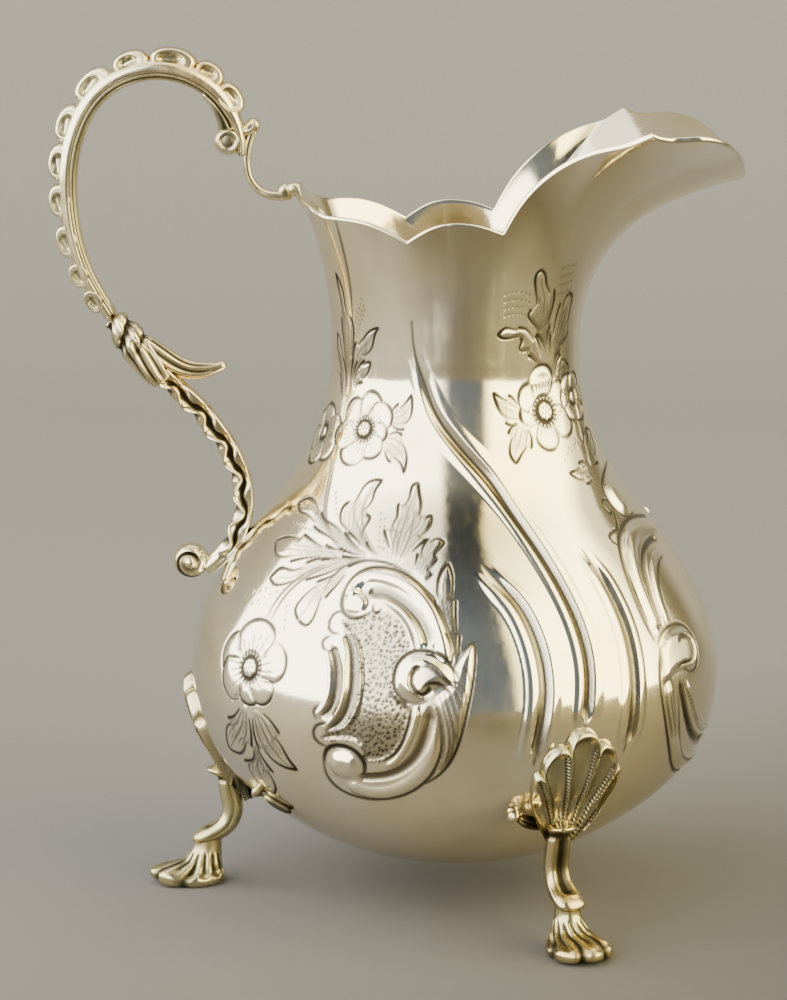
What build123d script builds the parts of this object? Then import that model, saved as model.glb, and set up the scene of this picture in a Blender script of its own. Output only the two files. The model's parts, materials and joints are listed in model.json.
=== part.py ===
from build123d import *
import os
from math import cos, radians, sin

# Silver cream jug: a raised pear-shaped body with a drawn-out lip, a cast scroll handle in several
# soldered castings, and three cast legs, each with a shell knee, a cabriole leg, a foot and leaf scrolls.
# Millimetres. +Z up, +X to the spout, the handle and spout lie on the plane Y = 0.
# The origin is on the table, under the middle of the jug's overall length and width.

# ---- driving dimensions -------------------------------------------------------------------------
AXIS_X = 10.4            # the body's axis stands this far in front of the origin
WALL = 0.9               # thickness of the raised silver
SEAT = 0.02              # soldered pieces stand this far off the body's own surface
BOWL_OUTLINE = [
    (0, 6.8), (18, 8.6), (32, 15.7), (42.9, 26), (46, 33), (47, 42), (44.5, 52),
    (39.5, 61), (33.7, 69), (27.8, 77), (23.8, 86), (21.9, 95),
]                        # radius, height, from the middle of the base to the neck
NECK_RADIUS = 21.9
SEAM_AZIMUTH = 100       # where the turned surface closes, clear of the handle and the legs
LIP_START = 98.0         # height where the neck begins to open into the lip
LAP_DEPTH = 0.8          # the lip's wall starts this far down inside the bowl's
LAP_STEP = 0.08          # and this far inside its outside
LIP_OVERRUN = 1.12       # the lip's surface is made this much too long, then trimmed to its rim
LIP_MARGIN = 7           # and this many degrees past the plane Y = 0 at each end

# The lip's meridians at chosen azimuths from the spout: end radius, end height, end slope in
# degrees, and the reach of the curve's lower and upper handles.
LIP_MERIDIANS = [
    (0, 50.0, 127.6, 13.5, 20, 15),
    (25, 50.2, 133.6, 14, 24, 15),
    (44, 48.0, 137.3, 15, 27, 13),
    (51, 37.0, 138.0, 40, 24, 8),
    (60, 29.5, 138.0, 70, 22, 8),
    (75, 24.4, 137.0, 82, 16, 8),
    (95, 23.4, 134.0, 82, 12, 8),
    (120, 27.0, 131.0, 72, 12, 8),
    (145, 31.0, 129.0, 66, 12, 8),
    (180, 28.3, 128.0, 66, 12, 8),
]
# The rim seen from the side, from the handle to the spout, in curved runs that meet in points.
RIM_BACK = [(-22, 122.1), (-16, 121.5), (-8.8, 118.4)]
RIM_SIDE = [(-8.8, 118.4), (-4.5, 120.9), (0.5, 121.5), (4.5, 120.9), (7.6, 119.8)]
RIM_EAR = [(7.6, 119.8), (11, 125.4), (16.4, 130.5), (23.5, 133.9), (28.8, 135.4), (31.4, 137)]
RIM_SPOUT = [(31.4, 137), (34.3, 136.1), (39.5, 136.2), (45, 134.8), (48.3, 131.5), (50, 127.6)]
# The peak that the rim makes behind RIM_BACK, where the handle joins it, seen from behind.
RIM_PEAK = [(0, 126.4), (7, 124.6), (12.5, 123.2), (16, 122.2), (24, 122.1)]
TRIM_LOW = 110           # the trimming shapes above the rim reach down to here beyond the spout,
TRIM_HIGH = 160          # up to here,
TRIM_FRONT = 80          # this far in front of the body's axis and to each side of it,
TRIM_BACK = 30           # and this far back from the end of RIM_BACK

# Handle, in the plane Y = 0, as X from the body's axis and Z.
SCROLL_ROUTE = [
    (-39.0, 137.6), (-42.4, 143.1), (-51.7, 146.6), (-61.4, 143.3), (-66.8, 134.4),
    (-67.8, 123.7), (-64.9, 111), (-60.5, 103.4),
]
SCROLL_SECTIONS = [      # share of the route, thickness in the plane, width across
    (0.0, 3.6, 5.0), (0.08, 3.9, 6.0), (0.2, 3.9, 6.8), (0.32, 3.9, 7.0), (0.44, 3.8, 7.0),
    (0.56, 3.7, 6.8), (0.68, 3.4, 6.4), (0.8, 3.1, 6.0), (0.91, 2.9, 5.4), (1.0, 2.7, 5.0),
]
VOLUTE_CENTRE = (-39.8, 133.7)
VOLUTE_RADIUS = 2.4
VOLUTE_WIDTH = 6.0
LOBES = [                # share along the scroll, distance from its middle line, length and height
    (0.05, 1.84, 5.4, 1.8), (0.12, 1.9, 5.0, 1.6), (0.205, 1.92, 7.4, 1.8), (0.3, 1.92, 6.0, 1.7),
    (0.398, 1.9, 7.0, 1.8), (0.502, 1.86, 6.0, 1.7), (0.594, 1.82, 5.6, 1.7), (0.686, 1.68, 5.2, 1.7),
    (0.785, 1.54, 5.6, 1.6), (0.872, 1.45, 4.6, 1.4), (0.944, 1.36, 4.4, 1.2),
]
BRACKET_ROUTE = [
    (-34.8, 137.8), (-36.4, 133.5), (-36.7, 129.0), (-35.0, 126.0), (-31.8, 124.8),
    (-28.6, 124.9), (-26.6, 123.6),
]
BRACKET_SECTIONS = [
    (0.0, 1.8, 2.6), (0.12, 1.7, 3.0), (0.3, 1.5, 3.0), (0.5, 1.6, 3.2), (0.7, 1.8, 3.4),
    (0.84, 2.4, 3.8), (1.0, 1.8, 3.0),
]
BRACKET_SEAT = (26.95, 124.4)            # where the bracket meets the back of the lip
BRACKET_FACE = (-0.93, 0, -0.36)         # square to the lip there
STEM_ROUTE = [(-60.5, 103.4), (-57.5, 99.4), (-54.3, 95.6), (-50.9, 91.8)]
STEM_SECTIONS = [(0.0, 2.9, 5.2), (0.25, 4.6, 6.6), (0.5, 5.4, 7.0), (0.75, 5.6, 6.8), (1.0, 4.2, 5.6)]
SPUR_ROUTE = [(-53.0, 96.4), (-48.5, 95.0), (-44.0, 93.9), (-39.4, 94.7)]
SPUR_SECTIONS = [(0.0, 4.0, 5.6), (0.35, 3.6, 5.0), (0.7, 2.4, 3.8), (1.0, 1.2, 2.4)]
LOWER_ROUTE = [
    (-50.9, 91.8), (-46.8, 88.4), (-42.2, 82.9), (-38.9, 77.2), (-37.5, 71),
    (-38.4, 65.4), (-41.2, 60.9), (-44.6, 57.9),
]
LOWER_SECTIONS = [
    (0.0, 4.0, 5.4), (0.15, 3.6, 5.0), (0.32, 3.7, 4.8), (0.5, 3.6, 4.6), (0.68, 3.5, 4.4),
    (0.85, 3.0, 4.0), (1.0, 2.6, 3.6),
]
TERMINAL_CENTRE = (-47.0, 59.6)
TERMINAL_RADIUS = 2.9
TERMINAL_WIDTH = 6.4

# Legs, each drawn in its own plane as distance from the body's axis and Z.
LEG_AZIMUTHS = {"rear": 180, "front_right": -64, "front_left": 64}
DRAWN_AZIMUTH = 30       # ornaments that lie on the body are drawn here, on an upright plane
DRAWN_RADIUS = 15        # this far from the axis, then turned to their own azimuths
DRAWN_REACH = 40         # and cast outwards this far, through the body's surface
LEG_ROUTE = [(43.6, 21.4), (41.4, 18.4), (40.2, 14.6), (41.4, 10.9), (44.6, 8.9), (47.4, 8.2)]
LEG_SECTIONS = [
    (0.0, 3.4, 4.8), (0.2, 3.8, 4.4), (0.42, 3.7, 4.0), (0.64, 3.6, 4.2), (0.84, 3.2, 4.6), (1.0, 1.6, 3.0),
]
FOOT_SECTIONS = [        # height, middle of the section, half its length and half its width
    (0.0, 48.2, 6.7, 5.2), (1.2, 48.1, 7.1, 5.6), (2.6, 47.0, 5.2, 4.0), (4.2, 45.3, 2.9, 2.7),
    (6.2, 44.7, 2.1, 2.0), (8.4, 44.8, 1.9, 1.6),
]
SHELL_STAND = 2.2        # the shell stands this proud of the body
SHELL_LOBES = [          # start, tip and end of each lobe across and up, one side
    ((2.4, 19.2), (5.6, 22.4), (7.8, 26.2)),
    ((7.8, 26.2), (9.5, 29.4), (6.8, 31.3)),
    ((6.8, 31.3), (6.6, 35.6), (2.6, 35.4)),
    ((2.6, 35.4), (2.3, 38.6), (0, 39.6)),
]
SCROLL_LEAF_LENGTH = 9.6
SCROLL_LEAF_WIDTH = 2.8
SCROLL_LEAF_STAND = 1.6
SCROLL_LEAVES = {        # azimuth, height and tilt in degrees of each leaf scroll beside a leg
    "rear": [(-144, 22.4, -14), (144, 22.4, 14)],
    "front_right": [(-75.5, 23.0, -20)],
    "front_left": [(75.5, 23.0, 20)],
}

BODY_AXIS = Axis((AXIS_X, 0, 0), (0, 0, 1))

os.makedirs("parts", exist_ok=True)


# ---- helpers ------------------------------------------------------------------------------------
def side_plane(azimuth=0):
    """The upright plane through the body's axis: local X runs outwards, local Y upwards."""
    outwards = Vector(cos(radians(azimuth)), sin(radians(azimuth)), 0)
    across = Vector(sin(radians(azimuth)), -cos(radians(azimuth)), 0)
    return Plane(origin=(AXIS_X, 0, 0), x_dir=outwards, z_dir=across)


def lofted_bar(plane, points, sections):
    """A tapering bar of oval section that follows a curve drawn in an upright plane."""
    route = Spline(*[plane.from_local_coords((x, z, 0)) for x, z in points], mode=Mode.PRIVATE)
    with BuildPart() as bar:
        for share, thickness, width in sections:
            with BuildSketch(Plane(origin=route @ share, x_dir=plane.z_dir, z_dir=route % share)):
                Ellipse(width / 2, thickness / 2)
        loft()
    return bar.part


def volute(plane, centre, radius, width):
    """A scroll's rolled end: a short drum across the plane with rounded edges."""
    with BuildPart() as drum:
        with BuildSketch(Plane(origin=plane.from_local_coords((*centre, 0)), z_dir=plane.z_dir)):
            Circle(radius)
        extrude(amount=width / 2, both=True)
        fillet(drum.edges(), radius * 0.42)
    return drum.part


def between(column, azimuth):
    """One number of the lip's meridians at any azimuth, by a smooth curve through its rows."""
    rows = LIP_MERIDIANS
    knots = [(-rows[1][0], rows[1][column])]
    knots += [(row[0], row[column]) for row in rows]
    knots += [(360 - rows[-2][0], rows[-2][column])]
    first = 1
    while first < len(knots) - 3 and knots[first + 1][0] < azimuth:
        first += 1
    (x0, y0), (x1, y1), (x2, y2), (x3, y3) = knots[first - 1:first + 3]
    step = x2 - x1
    chord = (y2 - y1) / step
    slopes = [(y2 - y0) / (x2 - x0), (y3 - y1) / (x3 - x1)]
    slopes = [0 if slope * chord <= 0 else slope for slope in slopes]
    limit = 3 * abs(chord)
    start_slope, end_slope = [max(-limit, min(limit, slope)) for slope in slopes]
    f = (azimuth - x1) / step
    return (
        y1 * (1 + 2 * f) * (1 - f) ** 2 + start_slope * step * f * (1 - f) ** 2
        + y2 * f * f * (3 - 2 * f) + end_slope * step * f * f * (f - 1)
    )


def lip_point(azimuth, t):
    """A point of the lip's outside: t runs from 0 at the neck to 1 near the rim."""
    radius, height, slope, rise, run = [between(column, abs(azimuth)) for column in range(1, 6)]
    reach = radius - run * cos(radians(slope))
    level = height - run * sin(radians(slope))
    start_radius = NECK_RADIUS - LAP_STEP
    start_height = LIP_START - LAP_DEPTH
    weights = (1 - t) ** 3, 3 * t * (1 - t) ** 2, 3 * t * t * (1 - t), t ** 3
    radii = start_radius, start_radius, reach, radius
    heights = start_height, start_height + rise, level, height
    rho = sum(weight * value for weight, value in zip(weights, radii))
    z = sum(weight * value for weight, value in zip(weights, heights))
    return Vector(AXIS_X + rho * cos(radians(azimuth)), rho * sin(radians(azimuth)), z)


# ---- surfaces of the body -----------------------------------------------------------------------
side = side_plane()
outline = Spline(*BOWL_OUTLINE, (NECK_RADIUS, LIP_START), tangents=[(1, 0), (0, 1)], mode=Mode.PRIVATE)


def offset_outline(distance, count=26):
    """Points beside the bowl's outline, towards the outside for a positive distance."""
    points = []
    for index in range(count + 1):
        spot = outline @ (index / count)
        along = outline % (index / count)
        points.append((max(spot.X + distance * along.Y, 0), spot.Y - distance * along.X))
    return points


def bowl_solid(distance):
    """The solid inside the bowl's outline moved by a distance."""
    points = offset_outline(distance)
    with BuildPart() as solid:
        with BuildSketch(side_plane(SEAM_AZIMUTH)):
            with BuildLine():
                Spline(*points, tangents=[(1, 0), (0, 1)])
                Polyline(points[-1], (0, points[-1][1]), points[0])
            make_face()
        revolve(axis=BODY_AXIS)
    return solid.part


def lip_half(rows=9, columns=26):
    """Half of the lip's wall, from the spout round to the handle, cut flat on the plane Y = 0."""
    first = -LIP_MARGIN
    last = 180 + LIP_MARGIN
    grid = []
    for row in range(rows + 1):
        t = LIP_OVERRUN * row / rows
        line = [lip_point(first + (last - first) * column / columns, t) for column in range(columns + 1)]
        grid.append(line)
    outside = Face.make_surface_from_array_of_points(grid, tol=0.01, min_deg=3, max_deg=8)
    wall = thicken(outside, amount=WALL)
    return split(wall, bisect_by=Plane.XZ, keep=Keep.BOTTOM)


# ---- body ---------------------------------------------------------------------------------------
seat_bowl = bowl_solid(SEAT)
rim_start = RIM_BACK[0]
spout_tip = RIM_SPOUT[-1]
peak_end_y, peak_end_z = RIM_PEAK[-1]
outside = offset_outline(0)
inside = offset_outline(-WALL)
lip = lip_half()
with BuildPart() as body:
    with BuildSketch(side_plane(SEAM_AZIMUTH)):
        with BuildLine():
            Spline(*outside, tangents=[(1, 0), (0, 1)])
            Line(outside[-1], inside[-1])
            Spline(*inside, tangents=[(1, 0), (0, 1)])
            Line(inside[0], outside[0])
        make_face()
    revolve(axis=BODY_AXIS)
    add(lip + mirror(lip, about=Plane.XZ, mode=Mode.PRIVATE))
    # Everything above the rim in the view from the side.
    with BuildSketch(side):
        with BuildLine():
            for run in (RIM_BACK, RIM_SIDE, RIM_EAR, RIM_SPOUT):
                Spline(*run)
            Polyline(
                spout_tip, (spout_tip[0], TRIM_LOW), (TRIM_FRONT, TRIM_LOW), (TRIM_FRONT, TRIM_HIGH),
                (rim_start[0], TRIM_HIGH), rim_start,
            )
        make_face()
    extrude(amount=TRIM_FRONT, both=True, mode=Mode.SUBTRACT)
    # Everything above the peak behind that, in the view from behind.
    with BuildSketch(Plane(origin=(AXIS_X + rim_start[0], 0, 0), x_dir=(0, -1, 0), z_dir=(-1, 0, 0))):
        with BuildLine():
            Spline(*RIM_PEAK, tangents=[(1, -0.2), (1, 0)])
            Spline(*[(-y, z) for y, z in RIM_PEAK], tangents=[(-1, -0.2), (-1, 0)])
            Polyline(
                (peak_end_y, peak_end_z), (peak_end_y, TRIM_HIGH),
                (-peak_end_y, TRIM_HIGH), (-peak_end_y, peak_end_z),
            )
        make_face()
    extrude(amount=TRIM_BACK, mode=Mode.SUBTRACT)
body.part.label = "body"
export_step(body.part, "parts/body.step")

# ---- handle -------------------------------------------------------------------------------------
with BuildPart() as handle_volute:
    add(volute(side, VOLUTE_CENTRE, VOLUTE_RADIUS, VOLUTE_WIDTH))
handle_volute.part.label = "handle_volute"
export_step(handle_volute.part, "parts/handle_volute.step")

with BuildPart() as handle_scroll:
    add(lofted_bar(side, SCROLL_ROUTE, SCROLL_SECTIONS))
    add(handle_volute.part, mode=Mode.SUBTRACT)
handle_scroll.part.label = "handle_scroll"
export_step(handle_scroll.part, "parts/handle_scroll.step")

# Cast lobes along the scroll's outer edge: half spindles that stand on it.
scroll_line = Spline(*SCROLL_ROUTE, mode=Mode.PRIVATE)
with BuildPart() as handle_lobes:
    for share, distance, length, height in LOBES:
        middle = scroll_line @ share
        along = scroll_line % share
        outwards = Vector(along.Y, -along.X, 0)
        foot = side.from_local_coords(middle + outwards * distance)
        ahead = Vector(along.X, 0, along.Y)
        with BuildSketch(Plane(origin=foot, x_dir=ahead, z_dir=(outwards.X, 0, outwards.Y))):
            Ellipse(length / 2, height)
            Rectangle(length, height, align=(Align.CENTER, Align.MIN), mode=Mode.INTERSECT)
        revolve(axis=Axis(foot, ahead), revolution_arc=180)
    add(handle_scroll.part, mode=Mode.SUBTRACT)
handle_lobes.part.label = "handle_lobes"
export_step(handle_lobes.part, "parts/handle_lobes.step")

with BuildPart() as handle_bracket:
    add(lofted_bar(side, BRACKET_ROUTE, BRACKET_SECTIONS))
    for neighbour in (handle_volute, handle_scroll, handle_lobes):
        add(neighbour.part, mode=Mode.SUBTRACT)
    split(bisect_by=Plane(origin=(AXIS_X - BRACKET_SEAT[0], 0, BRACKET_SEAT[1]), z_dir=BRACKET_FACE))
handle_bracket.part.label = "handle_bracket"
export_step(handle_bracket.part, "parts/handle_bracket.step")

with BuildPart() as handle_stem:
    add(lofted_bar(side, STEM_ROUTE, STEM_SECTIONS))
    for neighbour in (handle_scroll, handle_lobes):
        add(neighbour.part, mode=Mode.SUBTRACT)
handle_stem.part.label = "handle_stem"
export_step(handle_stem.part, "parts/handle_stem.step")

with BuildPart() as handle_spur:
    add(lofted_bar(side, SPUR_ROUTE, SPUR_SECTIONS))
    add(handle_stem.part, mode=Mode.SUBTRACT)
handle_spur.part.label = "handle_spur"
export_step(handle_spur.part, "parts/handle_spur.step")

with BuildPart() as handle_terminal:
    add(volute(side, TERMINAL_CENTRE, TERMINAL_RADIUS, TERMINAL_WIDTH))
    add(seat_bowl, mode=Mode.SUBTRACT)
handle_terminal.part.label = "handle_terminal"
export_step(handle_terminal.part, "parts/handle_terminal.step")

with BuildPart() as handle_lower:
    add(lofted_bar(side, LOWER_ROUTE, LOWER_SECTIONS))
    for neighbour in (handle_stem, handle_spur, handle_terminal):
        add(neighbour.part, mode=Mode.SUBTRACT)
    add(seat_bowl, mode=Mode.SUBTRACT)
handle_lower.part.label = "handle_lower"
export_step(handle_lower.part, "parts/handle_lower.step")


# ---- legs ---------------------------------------------------------------------------------------
drawn_out = (cos(radians(DRAWN_AZIMUTH)), sin(radians(DRAWN_AZIMUTH)))
drawn_plane = Plane(
    origin=(AXIS_X + DRAWN_RADIUS * drawn_out[0], DRAWN_RADIUS * drawn_out[1], 0),
    x_dir=(-drawn_out[1], drawn_out[0], 0), z_dir=(*drawn_out, 0),
)


def on_body(drawing, stand, azimuth):
    """What lies on the body in front of a drawing made on drawn_plane, turned to its azimuth."""
    with BuildPart() as piece:
        extrude(drawing, amount=DRAWN_REACH, dir=drawn_plane.z_dir)
        add(bowl_solid(stand), mode=Mode.INTERSECT)
        add(seat_bowl, mode=Mode.SUBTRACT)
    return piece.part.rotate(BODY_AXIS, azimuth - DRAWN_AZIMUTH)


def shell_knee(azimuth):
    """A scalloped fan that lies on the body over the leg."""
    with BuildSketch(drawn_plane) as fan:
        with BuildLine():
            for sign in (1, -1):
                for points in SHELL_LOBES:
                    ThreePointArc(*[(sign * across, z) for across, z in points])
            base_half, base_z = SHELL_LOBES[0][0]
            Line((-base_half, base_z), (base_half, base_z))
        make_face()
    return on_body(fan.sketch, SHELL_STAND, azimuth)


def leg_foot(azimuth):
    """A flat-soled pad with its toe outwards, drawn up into the ankle."""
    with BuildPart() as foot:
        for z, middle, half_length, half_width in FOOT_SECTIONS:
            centre = side_plane(azimuth).from_local_coords((middle, z, 0))
            with BuildSketch(Plane(origin=centre, x_dir=side_plane(azimuth).x_dir)):
                Ellipse(half_length, half_width)
        loft()
    return foot.part


def leaf_scroll(azimuth, z, tilt):
    """A pointed leaf that lies on the body beside a leg."""
    half = SCROLL_LEAF_LENGTH / 2
    with BuildSketch(drawn_plane) as leaf:
        with Locations(Location((0, z, 0), (0, 0, tilt))):
            with BuildLine(mode=Mode.PRIVATE) as edge:
                for sign in (1, -1):
                    ThreePointArc((-half, 0), (0, sign * SCROLL_LEAF_WIDTH / 2), (half, 0))
            add(make_face(edge.edges(), mode=Mode.PRIVATE))
    return on_body(leaf.sketch, SCROLL_LEAF_STAND, azimuth)


for name, azimuth in LEG_AZIMUTHS.items():
    with BuildPart() as shell:
        add(shell_knee(azimuth))
    shell.part.label = f"{name}_shell"
    export_step(shell.part, f"parts/{name}_shell.step")

    with BuildPart() as foot:
        add(leg_foot(azimuth))
    foot.part.label = f"{name}_foot"
    export_step(foot.part, f"parts/{name}_foot.step")

    with BuildPart() as leg:
        add(lofted_bar(side_plane(azimuth), LEG_ROUTE, LEG_SECTIONS))
        add(shell.part, mode=Mode.SUBTRACT)
        add(foot.part, mode=Mode.SUBTRACT)
        add(seat_bowl, mode=Mode.SUBTRACT)
    leg.part.label = f"{name}_leg"
    export_step(leg.part, f"parts/{name}_leg.step")

    with BuildPart() as leaves:
        for leaf_place in SCROLL_LEAVES[name]:
            add(leaf_scroll(*leaf_place))
        add(shell.part, mode=Mode.SUBTRACT)
        add(leg.part, mode=Mode.SUBTRACT)
    leaves.part.label = f"{name}_leaf_scrolls"
    export_step(leaves.part, f"parts/{name}_leaf_scrolls.step")
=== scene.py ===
import json
from math import cos, pi, radians, sin, sqrt

import bpy
import numpy as np
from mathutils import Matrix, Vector


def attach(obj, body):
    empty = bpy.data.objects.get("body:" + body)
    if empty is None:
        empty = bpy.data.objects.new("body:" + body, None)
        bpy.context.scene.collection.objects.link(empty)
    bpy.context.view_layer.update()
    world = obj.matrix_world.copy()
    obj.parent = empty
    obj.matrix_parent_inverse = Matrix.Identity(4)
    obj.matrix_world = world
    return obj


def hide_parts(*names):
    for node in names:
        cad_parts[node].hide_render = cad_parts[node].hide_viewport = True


# The looks of the silver cream jug: the raised and chased body, the cast handle and the cast legs.
# Shapes are worked out in millimetres from the body's axis, azimuths in degrees from the spout
# (the handle is at 180), and turned into metres in the frame's axes when a mesh is made.
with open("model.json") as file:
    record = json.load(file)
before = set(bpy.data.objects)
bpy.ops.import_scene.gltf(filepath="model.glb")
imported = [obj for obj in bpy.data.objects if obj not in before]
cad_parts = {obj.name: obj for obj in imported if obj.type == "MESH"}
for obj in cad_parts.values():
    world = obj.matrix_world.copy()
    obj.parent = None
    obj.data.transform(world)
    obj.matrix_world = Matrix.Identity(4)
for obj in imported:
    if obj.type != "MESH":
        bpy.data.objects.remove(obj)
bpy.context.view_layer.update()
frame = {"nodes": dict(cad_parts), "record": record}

MM = 0.001
AXIS_X = 10.4            # the body's axis in front of the frame's origin
WALL = 0.9
NECK_RADIUS = 21.9
LIP_START = 98.0         # height at which the bowl's profile hands over to the lip's meridians
DEGREES = 57.3           # in a radian, for margins round a stroke
BOWL_OUTLINE = [(0, 6.8), (18, 8.6), (32, 15.7), (42.9, 26), (46, 33), (47, 42), (44.5, 52), (39.5, 61),
        (33.7, 69), (27.8, 77), (23.8, 86), (21.9, 95), (NECK_RADIUS, LIP_START)]
# The lip's meridians: azimuth, end radius, end height, end slope, lower and upper handle lengths.
LIP_MERIDIANS = np.array([
    (0, 50.0, 127.6, 13.5, 20, 15), (25, 50.2, 133.6, 14, 24, 15), (44, 48.0, 137.3, 15, 27, 13),
    (51, 37.0, 138.0, 40, 24, 8), (60, 29.5, 138.0, 70, 22, 8), (75, 24.4, 137.0, 82, 16, 8),
    (95, 23.4, 134.0, 82, 12, 8), (120, 27.0, 131.0, 72, 12, 8), (145, 31.0, 129.0, 66, 12, 8),
    (180, 28.3, 128.0, 66, 12, 8),
])
# The rim in the view from the side, from the handle's side to the spout, and behind that from the back.
RIM_RUNS = [
    [(-22, 122.1), (-16, 121.5), (-8.8, 118.4)],
    [(-8.8, 118.4), (-4.5, 120.9), (0.5, 121.5), (4.5, 120.9), (7.6, 119.8)],
    [(7.6, 119.8), (11, 125.4), (16.4, 130.5), (23.5, 133.9), (28.8, 135.4), (31.4, 137)],
    [(31.4, 137), (34.3, 136.1), (39.5, 136.2), (45, 134.8), (48.3, 131.5), (50, 127.6)],
]
RIM_PEAK = [(0, 126.4), (7, 124.6), (12.5, 123.2), (16, 122.2), (24, 122.1)]
RIM_BACK_X = -22


# ---- curves and surfaces ------------------------------------------------------------------------
def smooth_curve(points, count, start=None, end=None):
    """A curve through the points, with the given end tangents or free ends, sampled evenly."""
    points = np.array(points, float)
    last = len(points) - 1
    knots = np.r_[0, np.cumsum(np.linalg.norm(np.diff(points, axis=0), axis=1))]
    gaps = np.diff(knots)
    matrix = np.zeros((last + 1, last + 1))
    right = np.zeros_like(points)
    for i in range(1, last):
        matrix[i, i - 1:i + 2] = gaps[i], 2 * (gaps[i - 1] + gaps[i]), gaps[i - 1]
        before = (points[i] - points[i - 1]) / gaps[i - 1]
        after = (points[i + 1] - points[i]) / gaps[i]
        right[i] = 3 * (gaps[i] * before + gaps[i - 1] * after)
    for end_row, beside, tangent, step in ((0, 1, start, 0), (last, last - 1, end, last - 1)):
        matrix[end_row, end_row] = 1 if tangent is not None else 2
        if tangent is not None:
            right[end_row] = tangent
        else:
            matrix[end_row, beside] = 1
            right[end_row] = 3 * (points[step + 1] - points[step]) / gaps[step]
    slopes = np.linalg.solve(matrix, right)
    where = np.linspace(0, knots[-1], count)
    i = np.clip(np.searchsorted(knots, where, side="right") - 1, 0, last - 1)
    f = ((where - knots[i]) / gaps[i])[:, None]
    h = gaps[i][:, None]
    return (
        points[i] * (1 + 2 * f) * (1 - f) ** 2 + slopes[i] * h * f * (1 - f) ** 2
        + points[i + 1] * f * f * (3 - 2 * f) + slopes[i + 1] * h * f * f * (f - 1)
    )


PROFILE = smooth_curve(BOWL_OUTLINE, 1600, (1, 0), (0, 1))


def between(column, azimuth):
    """One number of the lip's meridians at each azimuth, by a smooth curve through the rows."""
    rows = LIP_MERIDIANS
    x = np.r_[-rows[1, 0], rows[:, 0], 360 - rows[-2, 0]]
    y = np.r_[rows[1, column], rows[:, column], rows[-2, column]]
    a = np.abs(azimuth)
    i = np.clip(np.searchsorted(x, a, side="left") - 1, 1, len(x) - 3)
    step = x[i + 1] - x[i]
    chord = (y[i + 1] - y[i]) / step
    limit = 3 * np.abs(chord)
    slopes = []
    for j in (i, i + 1):
        slope = (y[j + 1] - y[j - 1]) / (x[j + 1] - x[j - 1])
        slopes.append(np.clip(np.where(slope * chord <= 0, 0, slope), -limit, limit))
    f = (a - x[i]) / step
    return (
        y[i] * (1 + 2 * f) * (1 - f) ** 2 + slopes[0] * step * f * (1 - f) ** 2
        + y[i + 1] * f * f * (3 - 2 * f) + slopes[1] * step * f * f * (f - 1)
    )


def lip_outline(azimuth, t):
    """Radius and height on the lip's outside: t is 0 at the neck and 1 near the rim."""
    radius, height, slope, rise, run = [between(column, azimuth) for column in range(1, 6)]
    reach = radius - run * np.cos(np.radians(slope))
    level = height - run * np.sin(np.radians(slope))
    a, b, c, d = (1 - t) ** 3, 3 * t * (1 - t) ** 2, 3 * t * t * (1 - t), t ** 3
    rho = (a + b) * NECK_RADIUS + c * reach + d * radius
    return rho, a * LIP_START + b * (LIP_START + rise) + c * level + d * height


def rho_at(azimuth, z):
    """The body's outer radius at an azimuth and height, up to the neck's flare."""
    azimuth, z = np.broadcast_arrays(np.atleast_1d(azimuth).astype(float), np.atleast_1d(z).astype(float))
    rho = np.interp(z, PROFILE[:, 1], PROFILE[:, 0])
    high = z > LIP_START
    if high.any():
        t = np.linspace(0, 1.1, 120)
        radii, heights = lip_outline(azimuth[high][:, None], t[None, :])
        k = np.clip(np.argmax(heights >= z[high][:, None], axis=1), 1, None)
        n = np.arange(len(k))
        f = (z[high] - heights[n, k - 1]) / (heights[n, k] - heights[n, k - 1])
        rho = rho.copy()
        rho[high] = radii[n, k - 1] + f * (radii[n, k] - radii[n, k - 1])
    return rho


def on_body(azimuth, z, stand=0.0):
    """Points on the body's outside, in millimetres from its axis."""
    azimuth, z = np.broadcast_arrays(np.asarray(azimuth, float), np.asarray(z, float))
    rho = rho_at(azimuth, z)
    slope = (rho_at(azimuth, z + 0.2) - rho_at(azimuth, z - 0.2)) / 0.4
    size = np.sqrt(1 + slope ** 2)
    rho = rho + stand / size
    height = z - stand * slope / size
    angle = np.radians(azimuth)
    return np.stack([rho * np.cos(angle), rho * np.sin(angle), height], -1)


def rim_reach(azimuth):
    """How far t runs along each meridian before it meets the rim."""
    side = np.vstack([smooth_curve(run, 60)[:-1] for run in RIM_RUNS] + [np.array([RIM_RUNS[-1][-1]])])
    half = smooth_curve(RIM_PEAK, 60)
    t = np.linspace(0.35, 1.12, 1500)
    reach = []
    for a in azimuth:
        rho, z = lip_outline(np.full_like(t, a), t)
        x = rho * cos(radians(a))
        y = np.abs(rho * sin(radians(a)))
        rim = np.where(
            x < RIM_BACK_X, np.interp(y, half[:, 0], half[:, 1]), np.interp(x, side[:, 0], side[:, 1])
        )
        above = (z > rim) | (x > side[-1, 0])
        reach.append(t[np.argmax(above)] if above.any() else 1.0)
    return np.array(reach)


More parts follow.
